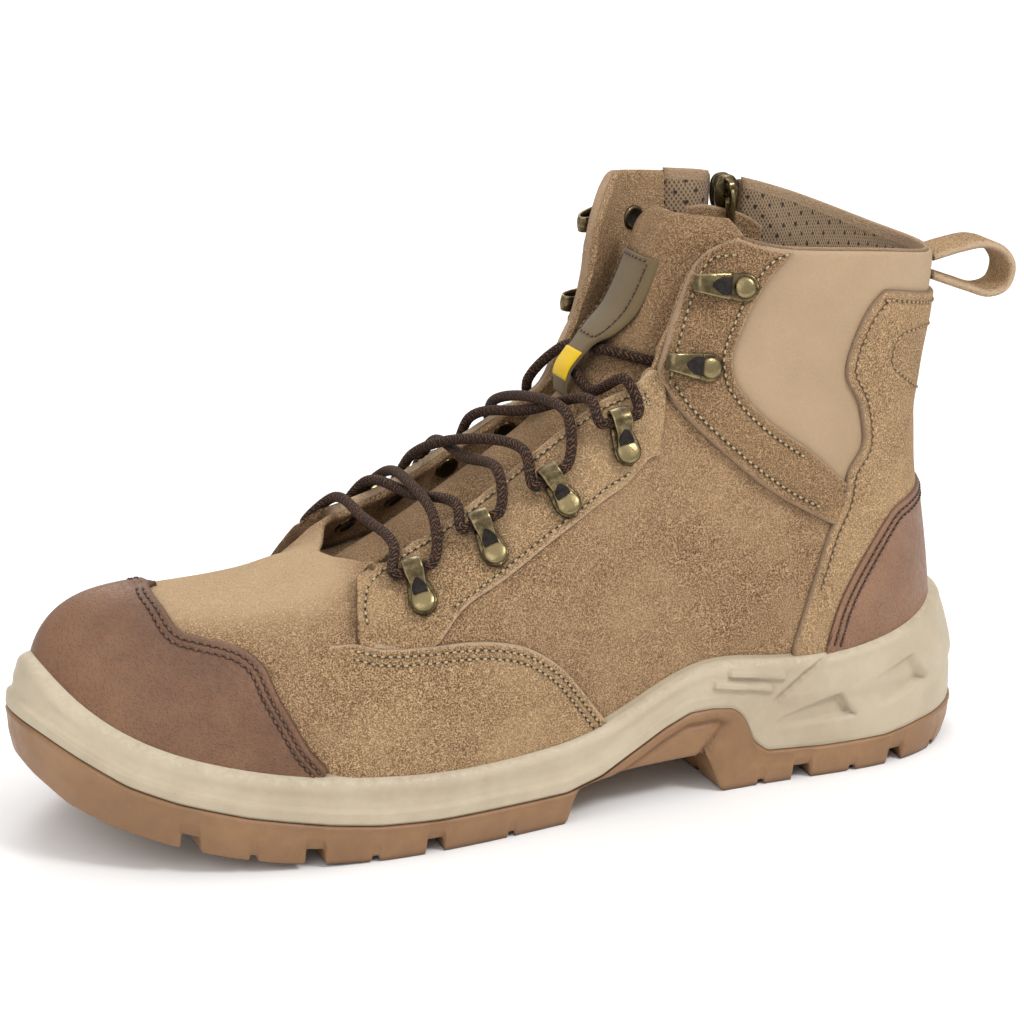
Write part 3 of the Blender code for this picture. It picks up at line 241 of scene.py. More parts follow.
# Which way the inner flap and the inner front corner are moved
FLAP_WAY = np.array([1.0, 0.0, 0.0])
CORNER_WAY = np.array([0.0, -0.35, 1.0])
BAND = np.eye(LOOP)
CONTROLS = np.linalg.solve((4 * BAND + np.roll(BAND, 1, 0) + np.roll(BAND, -1, 0)) / 6, KNOTS)


def station(t, slope=False):
    """Every column at t, by a closed cubic spline; or its slope."""
    t = np.asarray(t, float)
    first = np.floor(t).astype(int)
    f = t - first
    if slope:
        weights = [-(1 - f) ** 2, 3 * f**2 - 4 * f, -3 * f**2 + 2 * f + 1, f**2]
        weights = np.stack(weights, -1) / 2
    else:
        weights = [(1 - f) ** 3, 3 * f**3 - 6 * f**2 + 4, -3 * f**3 + 3 * f**2 + 3 * f + 1, f**3]
        weights = np.stack(weights, -1) / 6
    rows = CONTROLS[(first[..., None] + np.arange(-1, 3)) % LOOP]
    return (weights[..., None] * rows).sum(-2)


def outward(t):
    """Direction away from the foot in plan, square to the feather line."""
    slope = station(t, True)
    across = np.stack([-slope[..., 1], slope[..., 0], np.zeros_like(slope[..., 0])], -1)
    return unit(across)


def bump(v, peak):
    """A smooth hump over 0 to 1 that is highest at peak."""
    return np.sin(np.pi * np.clip(v, 0, 1) ** (math.log(0.5) / math.log(peak))) ** 2


def on_line(line, at):
    """A table of two columns read at a place, straight between rows."""
    line = np.asarray(line, float)
    return np.interp(at, line[:, 0], line[:, 1])


def one_side(t):
    """t counted from the heel on either side."""
    t = np.asarray(t, float) % LOOP
    return np.minimum(t, LOOP - t)


def form(t, v):
    """Outer face of the upper."""
    t, v = np.broadcast_arrays(np.asarray(t, float), np.clip(np.asarray(v, float), 0, 1))
    inner = t % LOOP > TOE
    flap = on_line(INNER_FLAP, one_side(t)) * np.clip(2 * v - 1, 0, 1) ** 0.7 * inner
    corner = on_line(INNER_CORNER, one_side(t)) * np.clip((v - 0.40) / 0.32, 0, 1) ** 2 * inner
    v = v - on_line(INNER_DROP, one_side(t)) * np.interp(v, (0.0, 0.7, 1.0), (0.0, 1.0, 0.0)) * inner
    columns = np.moveaxis(station(t), -1, 0)
    foot_s, foot_y, foot_z, top_s, top_y, top_z, rounding, nose, box, bulge, waist = columns[:11]
    over = 1 - np.cos(v * np.pi / 2).clip(0) ** (2 / box)
    up = np.sin(v * np.pi / 2) ** (2 / box)
    rounding = rounding.clip(0, 1)
    nose = nose.clip(0, 1)
    inward = (1 - rounding) * v + rounding * over
    rise = (1 - rounding) * v + rounding * up
    along = (1 - nose) * rise + nose * over
    push = bulge * bump(v, 0.25) - waist * bump(v, 0.58)
    point = np.stack([
        foot_s + (top_s - foot_s) * along, foot_y + (top_y - foot_y) * inward,
        foot_z + (top_z - foot_z) * rise,
    ], -1)
    point = point + outward(t) * push[..., None]
    return point + flap[..., None] * FLAP_WAY + corner[..., None] * CORNER_WAY


def form_normal(t, v, step=1e-3):
    t, v = np.broadcast_arrays(np.asarray(t, float), np.asarray(v, float))
    round_way = form(t + step, v) - form(t - step, v)
    up_way = form(t, np.minimum(v + step, 1)) - form(t, np.maximum(v - step, 0))
    return unit(np.cross(up_way, round_way))


def skin(t, v, lift):
    """A point lifted off the outer face."""
    return form(t, v) + form_normal(t, v) * np.asarray(lift, float)[..., None]


def height_share(t, z):
    """v at which the form reaches z."""
    v = np.linspace(0, 1, 401)
    return float(np.interp(z, form(np.full(401, t), v)[:, 2], v))


def rim_share(t):
    return height_share(t, station(t)[RIM_Z])


def edge_share(t):
    side = float(one_side(t))
    if side <= THROAT_EDGE[0][0] or side >= THROAT_EDGE[-1][0]:
        return 1.0
    return float(on_line(THROAT_EDGE, side))


def wall_depth(t, v):
    """Thickness of the upper, padded round the collar."""
    pad = np.clip((np.asarray(v, float) - 0.45) / 0.35, 0, 1) * np.clip((4.3 - one_side(t)) / 0.8, 0, 1)
    return WALL + COLLAR_PADDING * smooth_step(pad)


def sole_edge(t):
    """Outline of the sole in plan."""
    columns = station(t)
    return columns[..., :2] + outward(t)[..., :2] * columns[..., FLARE:FLARE + 1]


# Reading the tables softly
def soft_line(line, at, reach):
    """A table of two columns with its corners rounded over a reach."""
    steps = np.linspace(-reach, reach, 9)
    return np.mean([on_line(line, np.asarray(at, float) + step) for step in steps], axis=0)


def smooth_path(points, steps, straight=()):
    """Curve through points, by centripetal spans; straight lists spans to leave straight, counted from 1."""
    points = [np.asarray(p, float) for p in points]
    points = [2 * points[0] - points[1]] + points + [2 * points[-1] - points[-2]]
    path = []
    for k in range(1, len(points) - 2):
        p0, p1, p2, p3 = points[k - 1:k + 3]
        t0 = 0.0
        t1 = t0 + math.sqrt(np.linalg.norm(p1 - p0))
        t2 = t1 + math.sqrt(np.linalg.norm(p2 - p1))
        t3 = t2 + math.sqrt(np.linalg.norm(p3 - p2))
        for t in np.linspace(t1, t2, steps, endpoint=False):
            if k in straight:
                path.append(p1 + (p2 - p1) * (t - t1) / (t2 - t1))
                continue
            a1 = (t1 - t) / (t1 - t0) * p0 + (t - t0) / (t1 - t0) * p1
            a2 = (t2 - t) / (t2 - t1) * p1 + (t - t1) / (t2 - t1) * p2
            a3 = (t3 - t) / (t3 - t2) * p2 + (t - t2) / (t3 - t2) * p3
            b1 = (t2 - t) / (t2 - t0) * a1 + (t - t0) / (t2 - t0) * a2
            b2 = (t3 - t) / (t3 - t1) * a2 + (t - t1) / (t3 - t1) * a3
            path.append((t2 - t) / (t2 - t1) * b1 + (t - t1) / (t2 - t1) * b2)
    path.append(points[-2])
    return np.array(path)


def along_path(path, places):
    """Points of a path at places from 0 to 1 of its length."""
    lengths = np.concatenate([[0], np.cumsum(np.linalg.norm(np.diff(path, axis=0), axis=1))])
    at = np.asarray(places, float) * lengths[-1]
    return np.stack([np.interp(at, lengths, path[:, k]) for k in range(path.shape[1])], -1)


def path_length(path):
    return float(np.linalg.norm(np.diff(path, axis=0), axis=1).sum())


def mirrored(rows):
    """Places on the outer side carried to the inner side."""
    return [(LOOP - row[0], *row[1:]) for row in rows]


# Building meshes
# Distance beyond which a point no longer counts as near an edge
EDGE_REACH = 12.0


def place(points):
    """World metres of points in millimetres."""
    return (np.asarray(points, float) - np.asarray(ORIGIN)) * MM


def piece(name, points, faces, looks, slot, body="shoe", stands_for=(), which=None, marks=None, uv=None):
    """One object that rides a body; which picks one of its looks a face, marks are point values."""
    mesh = bpy.data.meshes.new(name)
    mesh.from_pydata(place(points).tolist(), [], [tuple(int(i) for i in face) for face in faces])
    for look in looks:
        mesh.materials.append(look)
    mesh.polygons.foreach_set("use_smooth", [True] * len(mesh.polygons))
    if which is not None:
        mesh.polygons.foreach_set("material_index", np.asarray(which, np.int32))
    for mark, values in (marks or {}).items():
        mesh.attributes.new(mark, "FLOAT", "POINT").data.foreach_set("value", np.asarray(values, np.float32))
    if uv is not None:
        corners = np.zeros(len(mesh.loops), np.int32)
        mesh.loops.foreach_get("vertex_index", corners)
        layer = mesh.uv_layers.new(name="UVMap")
        layer.data.foreach_set("uv", np.asarray(uv, np.float32)[corners].ravel())
    mesh.update()
    made = bpy.data.objects.new(name, mesh)
    bpy.context.scene.collection.objects.link(made)
    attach(made, body)
    if stands_for:
        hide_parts(*stands_for)
    return made


def grid_quads(columns, rows, closed=False):
    """Quads of a grid stored column by column, facing out when t grows along the columns."""
    c = np.arange(columns if closed else columns - 1)[:, None]
    r = np.arange(rows - 1)[None, :]
    a = c * rows + r
    b = ((c + 1) % columns) * rows + r
    return np.stack(np.broadcast_arrays(a, a + 1, b + 1, b), -1).reshape(-1, 4)


def closed_sheet(outer, inner, quads):
    """Close two matching sheets into a solid: faces on both and a strip along every free edge."""
    count = len(outer)
    quads = [tuple(int(i) for i in quad) for quad in quads]
    faces = quads + [tuple(i + count for i in reversed(quad)) for quad in quads]
    used = {edge for quad in quads for edge in zip(quad, quad[1:] + quad[:1])}
    faces += [(b, a, a + count, b + count) for a, b in used if (b, a) not in used]
    return np.vstack([outer, inner]), faces


def ring_faces(rings, sides):
    """Faces of a stack of rings that is closed at both ends."""
    quads = [
        (k * sides + i, k * sides + (i + 1) % sides, (k + 1) * sides + (i + 1) % sides, (k + 1) * sides + i)
        for k in range(rings - 1) for i in range(sides)
    ]
    return quads + [tuple(reversed(range(sides))), tuple(range((rings - 1) * sides, rings * sides))]


def weld(index, sheets, c, twin):
    """Join the top point of one column to its twin's, midway between them."""
    index[twin, -1] = index[c, -1]
    for sheet in sheets:
        sheet[c, -1] = (sheet[c, -1] + sheet[twin, -1]) / 2


def compacted(points, faces):
    """Points that faces use, the faces on them, and the places of those points in the old list."""
    used = np.unique(np.concatenate([np.array(face) for face in faces]))
    order = np.full(len(points), -1)
    order[used] = np.arange(len(used))
    return points[used], [tuple(order[list(face)]) for face in faces], used


def sheet_map(across, up):
    """Map of a closed sheet: the same on its outer and inner face."""
    return np.vstack([np.stack([np.ravel(across), np.ravel(up)], -1)] * 2)


def edge_mark(away):
    """Point values of a closed sheet: distance from its cut edge."""
    return np.tile(np.minimum(away, EDGE_REACH).ravel(), 2)


def columns_between(ts, low, high, rows):
    """Grids of t and v: a column at each t, its rows shared out from low to high."""
    t = np.repeat(ts[:, None], len(rows), axis=1)
    return t, low[:, None] + (high - low)[:, None] * rows[None]


def joined(parts):
    """Several solids' points and faces in one list."""
    points, faces, start = [], [], 0
    for some_points, some_faces in parts:
        points.append(np.asarray(some_points))
        faces += [tuple(int(i) + start for i in face) for face in some_faces]
        start += len(some_points)
    return np.vstack(points), faces


def nearest(points, line):
    """Distance of each point from a line of points."""
    flat = points.reshape(-1, 3)
    found = np.full(len(flat), 1e9)
    for some in np.array_split(line, max(1, len(line) // 60)):
        found = np.minimum(found, np.linalg.norm(flat[:, None] - some[None], axis=2).min(axis=1))
    return found.reshape(points.shape[:-1])


def spread(length, step, low=True, high=True, edge=1.4):
    """Places from 0 to 1 along a length, crowded near the ends that have a rounded edge."""
    near = np.array([0.0, 0.03, 0.12, 0.30, 0.60, 1.0, 1.6]) * edge / length
    near = near[near < 0.4]
    start = near if low else np.array([0.0])
    finish = 1 - near[::-1] if high else np.array([1.0])
    count = max(2, int(round((finish[0] - start[-1]) * length / step)) + 1)
    return np.concatenate([start[:-1], np.linspace(start[-1], finish[0], count), finish[1:]])


def tube(path, radius, sides):
    """A closed cord along a path, with flat ends."""
    path = np.asarray(path, float)
    tangent = unit(np.gradient(path, axis=0))
    side = np.cross(tangent[0], (0.0, 0.1, 1.0))
    sides_at = []
    for d in tangent:
        side = unit(side - d * side.dot(d))
        sides_at.append(side)
    sides_at = np.array(sides_at)
    up = np.cross(tangent, sides_at)
    angle = 2 * np.pi * np.arange(sides) / sides
    reach = np.broadcast_to(np.asarray(radius, float), (len(path),))[:, None, None]
    ring = sides_at[:, None] * np.cos(angle)[None, :, None] + up[:, None] * np.sin(angle)[None, :, None]
    return (path[:, None] + reach * ring).reshape(-1, 3), ring_faces(len(path), sides)


# Creases, laid on the form as soft troughs: places in t and v along each, depth, width
CREASES = (
    (((9.75, 0.70), (9.85, 0.80), (9.95, 0.97)), 1.1, 3.2),
    (((10.15, 0.55), (10.12, 0.74), (10.20, 0.96)), 0.7, 4.0),
    (((16.00, 0.62), (16.05, 0.80), (16.02, 0.97)), 0.9, 4.0),
    (((8.85, 0.16), (9.05, 0.30), (9.20, 0.38)), 0.5, 5.0),
    (((7.10, 0.20), (7.30, 0.28), (7.60, 0.33)), 0.5, 4.5),
    (((5.70, 0.14), (5.85, 0.24), (6.10, 0.33)), 0.6, 5.0),
    (((4.35, 0.13), (4.55, 0.25), (4.60, 0.37)), 0.5, 5.0),
    (((3.30, 0.18), (3.50, 0.29), (3.40, 0.38)), 0.5, 5.0),
    (((2.62, 0.60), (2.95, 0.66), (3.45, 0.64)), 0.6, 6.0),
    (((2.66, 0.78), (3.00, 0.80), (3.40, 0.83)), 0.4, 6.0),
    (((17.0, 0.20), (17.6, 0.30), (18.2, 0.33)), 0.6, 5.0),
    (((20.1, 0.16), (20.3, 0.28), (20.6, 0.36)), 0.6, 5.0),
    (((0.60, 0.64), (1.10, 0.62), (1.70, 0.65)), 0.4, 5.0),
)


# Points along a crease, how far in t it reaches, and the ridge beside its trough
CREASE_POINTS = 25
CREASE_REACH = 0.9
RIDGE_AWAY = 1.9
RIDGE_SHARE = 0.3


def crease_depth(t, v):
    """How far the creases pull the face in."""
    points = form(t, v)
    t, v = np.broadcast_arrays(np.asarray(t, float) % LOOP, np.asarray(v, float))
    total = np.zeros(t.shape)
    for places, depth, width in CREASES:
        line = np.array(places)
        path = along_path(smooth_path(line, 6), np.linspace(0, 1, CREASE_POINTS))
        close = (t > line[:, 0].min() - CREASE_REACH) & (t < line[:, 0].max() + CREASE_REACH)
        if not close.any():
            continue
        away = np.linalg.norm(points[close][:, None] - form(path[:, 0], path[:, 1])[None], axis=2)
        fade = np.sin(np.pi * np.linspace(0.06, 0.94, CREASE_POINTS)) ** 0.7
        trough = (bell(away, width) * fade[None]).max(axis=1)
        ridge = (bell(away - RIDGE_AWAY * width, width) * fade[None]).max(axis=1)
        total[close] += depth * trough - RIDGE_SHARE * depth * ridge
    return total


def laid(t, v, lift):
    """A point lifted off the outer face, with the creases pressed in."""
    return skin(t, v, np.asarray(lift, float) - crease_depth(t, v))


def shifted(t, v, left):
    """Places moved along the face, square to the line they form, by millimetres to the left."""
    step = 1e-3
    v = np.clip(v, 0.01, 0.985)
    way = unit(np.gradient(form(t, v), axis=0))
    aside = np.cross(form_normal(t, v), way) * np.asarray(left, float).reshape(-1, 1)
    by_t = (form(t + step, v) - form(t - step, v)) / (2 * step)
    by_v = (form(t, v + step) - form(t, v - step)) / (2 * step)
    tt, tv, vv = (by_t * by_t).sum(1), (by_t * by_v).sum(1), (by_v * by_v).sum(1)
    at, av = (aside * by_t).sum(1), (aside * by_v).sum(1)
    det = tt * vv - tv * tv
    return t + (at * vv - av * tv) / det, np.clip(v + (av * tt - at * tv) / det, 0.0, 0.995)


# Stitches
STITCH_LENGTH = 2.1
STITCH_GAP = 0.25
# Where a stitch starts, as a share of its pitch
STITCH_START = 0.08
STITCH_SIDES = 6
THREAD = 0.36
# Along one stitch: place, rise over the leather, width and how pale the thread is, the darker ends being
# painted shade where it dips into the leather
STITCH = (
    (0.0, -0.6, 0.75, 0.0), (0.20, 0.1, 1.0, 0.0), (0.34, 0.45, 1.0, 0.9), (0.50, 0.58, 1.0, 1.0),
    (0.66, 0.45, 1.0, 0.9), (0.80, 0.1, 1.0, 0.0), (1.0, -0.6, 0.75, 0.0),
)


def stitch(start, finish, normal):
    """One stitch: a short thread whose ends dip into the leather."""
    places, rise, wide, _ = np.array(STITCH).T
    path = start + (finish - start) * places[:, None] + normal * rise[:, None] * THREAD
    return tube(path, wide * THREAD, STITCH_SIDES)


def stitches(name, found, look):
    """One piece from many stitches, marked with how pale each point of the thread is; the rest is painted
    shade.
    """
    crown = np.tile(np.repeat([row[3] for row in STITCH], STITCH_SIDES), len(found))
    piece(name, *joined(found), [look], "cord", marks={"crown": crown})


def stitch_path(path, normals):
    """Stitches along points in space."""
    pitch = STITCH_LENGTH + STITCH_GAP
    count = max(1, int(path_length(path) / pitch))
    found = []
    for k in range(count):
        start = k + STITCH_START
        ends = along_path(path, [start / count, (start + STITCH_LENGTH / pitch) / count])
        middle = min(int((k + 0.5) / count * (len(path) - 1)), len(path) - 1)
        found.append(stitch(ends[0], ends[1], normals[middle]))
    return found


# Where the eyestays begin to stand up to their front edge, and over how far, in t
FRONT_FROM = 8.6
FRONT_REACH = 0.9


def towards_front(t):
    """0 to 1 towards the front end of the eyestays."""
    return smooth_step((one_side(t) - FRONT_FROM) / FRONT_REACH)


def seam(places, inset, lift, front_lift=0.0):
    """A row of stitches along places in t and v, moved to the left by an inset."""
    path = smooth_path(places, 14)
    path = along_path(path, np.linspace(0, 1, 40 * len(places)))
    t, v = shifted(path[:, 0], path[:, 1], np.full(len(path), inset))
    return stitch_path(laid(t, v, lift + front_lift * towards_front(t)), form_normal(t, v))


def seams(places, inset, lift, front_lift=0.0):
    """The same seam on the outer and the inner side."""
    return seam(places, inset, lift, front_lift) + seam(mirrored(places)[::-1], inset, lift, front_lift)


# Panels of leather over the form
CUT_ROUNDING = 0.9
PUFF_REACH = 9.0
GROOVE_WIDTH = 0.75
PANEL_BASE = -0.5
ALL_EDGES = ("low", "high", "start", "finish")


def panel(name, t, v, thick, look, free, stands_for=(), base=PANEL_BASE, grooves=(), puff=0.0, dark_edge=None,
          slot="suede"):
    """A closed piece over the form from grids of t and v; free names the edges that are cut and show."""
    face = form(t, v)
    edges = {"low": face[:, 0], "high": face[:, -1], "start": face[0], "finish": face[-1]}
    away = nearest(face, np.vstack([edges[edge] for edge in free]))
    lift = (np.asarray(thick) + puff * smooth_step(away / PUFF_REACH)) * rounded(away / CUT_ROUNDING)
    for inset, depth in grooves:
        lift = lift - depth * bell(away - inset, GROOVE_WIDTH)
    outer = laid(t, v, lift).reshape(-1, 3)
    inner = laid(t, v, np.full(t.shape, base)).reshape(-1, 3)
    points, faces = closed_sheet(outer, inner, grid_quads(*t.shape))
    marks = {"edge": edge_mark(away)}
    if dark_edge is not None:
        marks["dark_edge"] = np.tile(dark_edge.ravel(), 2)
    piece(name, points, faces, [look], slot, stands_for=stands_for, marks=marks)


def between(low, high, step, free):
    """Grids of t and v between a lower and an upper line of places, column by column."""
    low, high = np.asarray(low, float), np.asarray(high, float)
    gap = np.linalg.norm(form(low[:, 0], low[:, 1]) - form(high[:, 0], high[:, 1]), axis=1)
    rows = spread(max(gap.max(), 4.0), step, "low" in free, "high" in free)
    t = low[:, 0][:, None] + (high[:, 0] - low[:, 0])[:, None] * rows[None]
    v = low[:, 1][:, None] + (high[:, 1] - low[:, 1])[:, None] * rows[None]
    return t, v


def line_at(rows, places):
    """A line of places, smoothed and read at shares of its length over the form."""
    path = smooth_path(rows, 16)
    space = form(path[:, 0], path[:, 1])
    lengths = np.concatenate([[0], np.cumsum(np.linalg.norm(np.diff(space, axis=0), axis=1))])
    at = np.asarray(places) * lengths[-1]
    return np.stack([np.interp(at, lengths, path[:, k]) for k in (0, 1)], -1)


def over_rim(t, above=0.0):
    """Share at a height over the midsole's rim, for one place or many."""
    return np.array([height_share(one, station(one)[RIM_Z] + above) for one in np.atleast_1d(t)])


# Materials
def tone(red, green, blue):
    """Linear colour of a screen colour out of 255."""
    def linear(x):
        x = x / 255
        return x / 12.92 if x <= 0.04045 else ((x + 0.055) / 1.055) ** 2.4
    return (linear(red), linear(green), linear(blue), 1.0)


class Look:
    """A material with its shader, and short ways to add the nodes that vary it."""

    def __init__(self, name):
        self.material = bpy.data.materials.new(name)
        self.material.use_nodes = True
        self.tree = self.material.node_tree
        self.shader = self.tree.nodes["Principled BSDF"]
        self.height = None

    def set(self, **values):
        for socket, value in values.items():
            self.shader.inputs[socket.replace("_", " ")].default_value = value
        return self

    def node(self, kind, inputs=None, **settings):
        made = self.tree.nodes.new(kind)
        for key, value in settings.items():
            setattr(made, key, value)
        for key, value in (inputs or {}).items():
            self.feed(made.inputs[key], value)
        return made

    def feed(self, socket, value):
        if isinstance(value, bpy.types.NodeSocket):
            self.tree.links.new(value, socket)
        else:
            socket.default_value = value

    def place(self):
        return self.node("ShaderNodeTexCoord").outputs["Object"]

    def uv(self):
        return self.node("ShaderNodeUVMap", uv_map="UVMap").outputs["UV"]

    def mark(self, name):
        return self.node("ShaderNodeAttribute", attribute_name=name).outputs["Fac"]

    def noise(self, scale, detail, rough=0.55):
        inputs = {"Vector": self.place(), "Scale": scale, "Detail": detail, "Roughness": rough}
        return self.node("ShaderNodeTexNoise", inputs).outputs["Fac"]

    def cells(self, scale):
        inputs = {"Vector": self.place(), "Scale": scale}
        return self.node("ShaderNodeTexVoronoi", inputs, feature="F1").outputs["Distance"]

    def span(self, value, low, high, to_low=0.0, to_high=1.0):
        """A value carried from one range to another, with soft ends."""
        inputs = {"Value": value, "From Min": low, "From Max": high, "To Min": to_low, "To Max": to_high}
        return self.node("ShaderNodeMapRange", inputs, interpolation_type="SMOOTHSTEP").outputs["Result"]

    def scaled(self, value, at_none, at_full):
        """A share of 0 to 1 carried to another range."""
        return self.span(value, 0.0, 1.0, at_none, at_full)

    def calc(self, operation, a, b=0.0):
        made = self.node("ShaderNodeMath", operation=operation)
        self.feed(made.inputs[0], a)
        self.feed(made.inputs[1], b)
        return made.outputs[0]

    def cell_distance(self, value, stretch):
        """Distance from the middle of the unit cell that a value falls in."""
        aside = self.calc("SUBTRACT", self.calc("FRACT", value), 0.5)
        return self.calc("MULTIPLY", self.calc("ABSOLUTE", aside), stretch)

    def mix(self, share, a, b):
        made = self.node("ShaderNodeMix", data_type="RGBA", blend_type="MIX")
        self.feed(made.inputs[0], share)
        self.feed(made.inputs[6], a)
        self.feed(made.inputs[7], b)
        return made.outputs[2]

    def tint(self, body, other, share, at_none, at_full):
        """A colour drawn towards another by a share, from at_none to at_full."""
        return self.mix(self.scaled(share, at_none, at_full), body, other)

    def colour(self, value):
        self.feed(self.shader.inputs["Base Color"], value)
        return self

    def rough(self, value):
        self.feed(self.shader.inputs["Roughness"], value)
        return self

    def painted_corner_shade(self, body, dark, reach_mm=3.0, most=0.7):
        """Painted shade: darker where faces meet in a narrow corner, where shade falls."""
        inputs = {"Distance": reach_mm * MM}
        open_share = self.node("ShaderNodeAmbientOcclusion", inputs, samples=6).outputs["AO"]
        return self.mix(self.span(open_share, 0.25, 0.85, most, 0.0), body, dark)

    def bump(self, height, depth_mm, strength):
        inputs = {"Height": height, "Distance": depth_mm * MM, "Strength": strength}
        if self.height is not None:
            inputs["Normal"] = self.height
        self.height = self.node("ShaderNodeBump", inputs).outputs["Normal"]
        self.feed(self.shader.inputs["Normal"], self.height)
        return self


def suede(name, dark, light, raw, rough_edge=True):
    """Napped leather: brushed patches, a speckled nap and pale raw edges."""
    look = Look(name).set(Roughness=0.94, Specular_IOR_Level=0.15, Sheen_Weight=0.10, Sheen_Roughness=0.5)
    look.set(Sheen_Tint=tone(226, 200, 165))
    patches = look.span(look.noise(32.0, 4.0, 0.62), 0.34, 0.68, 0.0, 0.34)
    tufts = look.span(look.noise(700.0, 3.0, 0.7), 0.30, 0.70)
    nap = look.span(look.noise(2200.0, 2.0, 0.6), 0.34, 0.66)
    body = look.mix(nap, dark, light)
    body = look.tint(body, dark, tufts, 0.30, 0.0)
    body = look.mix(patches, body, light)
    # Paler over the vamp's top: brushed nap and painted light where the top faces the lamps.
    body = look.tint(body, tone(196, 168, 133), look.mark("rub_and_light"), 0.0, 0.72)
    if rough_edge:
        fray = look.span(look.noise(700.0, 2.0), 0.2, 0.8, -0.45, 0.45)
        ragged = look.calc("ADD", look.mark("edge"), fray)
        # Marked raw edges are darkened: painted shade on the eyestays' fronts, a darker cut edge on the rear
        # panel.
        edge = look.mix(look.mark("dark_edge"), raw, tone(84, 60, 43))
        body = look.mix(look.span(ragged, 0.20, 1.25, 0.85, 0.0), body, edge)
    look.colour(look.painted_corner_shade(body, tone(62, 44, 30)))
    look.bump(tufts, 0.40, 0.6).bump(nap, 0.36, 0.8)
    return look.material


def pebbled(name, dark, light):
    """Coated leather with a fine pebble grain and edges darkened by wear."""
    look = Look(name).set(Specular_IOR_Level=0.42, Coat_Weight=0.10, Coat_Roughness=0.42)
    patches = look.span(look.noise(22.0, 4.0, 0.6), 0.35, 0.68)
    pores = look.span(look.cells(1350.0), 0.10, 0.62)
    grain = look.span(look.noise(520.0, 3.0, 0.6), 0.3, 0.7)
    body = look.mix(patches, dark, light)
    body = look.tint(body, tone(58, 38, 28), pores, 0.20, 0.0)
    body = look.tint(body, tone(142, 104, 76), grain, 0.0, 0.16)
    body = look.mix(look.span(look.mark("edge"), 0.1, 1.0, 0.55, 0.0), body, tone(70, 46, 36))
    look.colour(look.painted_corner_shade(body, tone(42, 28, 22)))
    look.rough(look.scaled(grain, 0.46, 0.62))
    look.bump(pores, 0.22, 0.75).bump(grain, 0.16, 0.5)
    return look.material


def smooth_leather(name, dark, light):
    """Finished leather with fine pores."""
    look = Look(name).set(Specular_IOR_Level=0.32, Coat_Weight=0.05, Coat_Roughness=0.5)
    patches = look.span(look.noise(26.0, 5.0, 0.62), 0.34, 0.68)
    pores = look.span(look.cells(1500.0), 0.08, 0.6)
    grain = look.span(look.noise(420.0, 4.0, 0.65), 0.3, 0.7)
    body = look.mix(patches, dark, light)
    body = look.tint(body, tone(132, 108, 82), pores, 0.16, 0.0)
    look.colour(look.painted_corner_shade(body, tone(96, 74, 54)))
    look.rough(look.scaled(grain, 0.56, 0.70))
    look.bump(pores, 0.07, 0.45).bump(grain, 0.10, 0.35)
    return look.material


def foam_rubber(name, dark, light):
    """Moulded midsole: matt, with flow marks, specks and a scuffed rim."""
    look = Look(name).set(Specular_IOR_Level=0.34, Coat_Weight=0.04, Coat_Roughness=0.5)
    look.set(Subsurface_Weight=0.06, Subsurface_Scale=0.002)
    patches = look.span(look.noise(30.0, 5.0, 0.65), 0.32, 0.70)
    flow = look.span(look.noise(160.0, 4.0, 0.6), 0.3, 0.7)
    specks = look.span(look.noise(1100.0, 2.0, 0.5), 0.66, 0.80)
    body = look.mix(patches, dark, light)
    body = look.tint(body, tone(150, 136, 112), flow, 0.12, 0.0)
    body = look.tint(body, tone(128, 112, 88), specks, 0.0, 0.30)
    ragged = look.span(look.noise(420.0, 4.0, 0.7), 0.25, 0.75, -1.4, 1.4)
    scuff = look.calc("ADD", look.mark("edge"), ragged)
    body = look.mix(look.span(scuff, 0.0, 1.6, 0.42, 0.0), body, tone(196, 186, 166))
    look.colour(look.painted_corner_shade(body, tone(118, 104, 84), 4.0, 0.6))
    look.rough(look.scaled(flow, 0.50, 0.66))
    look.bump(flow, 0.16, 0.35).bump(look.noise(1500.0, 2.0), 0.06, 0.4)
    return look.material


def gum_rubber(name, dark, light):
    """Moulded outsole: flow marks and pale specks."""
    look = Look(name).set(Specular_IOR_Level=0.42, Coat_Weight=0.06, Coat_Roughness=0.4)
    look.set(Subsurface_Weight=0.05, Subsurface_Scale=0.002)
    patches = look.span(look.noise(34.0, 5.0, 0.6), 0.32, 0.70)
    flow = look.span(look.noise(240.0, 4.0, 0.6), 0.3, 0.7)
    body = look.mix(patches, dark, light)
    body = look.tint(body, tone(100, 70, 44), flow, 0.18, 0.0)
    specks = look.span(look.noise(900.0, 2.0, 0.5), 0.66, 0.82)
    body = look.tint(body, tone(158, 130, 98), specks, 0.0, 0.35)
    look.colour(look.painted_corner_shade(body, tone(66, 42, 24), 3.0, 0.75))
    look.rough(look.scaled(flow, 0.42, 0.60))
    look.bump(flow, 0.18, 0.35).bump(look.noise(1800.0, 2.0), 0.05, 0.4)
    return look.material


# Spacer mesh: rows' share of the pitch, how holes are stretched, and turns of the knit a millimetre
MESH_ROW = 0.8
HOLE_STRETCH = (1.25, 0.62)
KNIT = (7.4, 3.1)


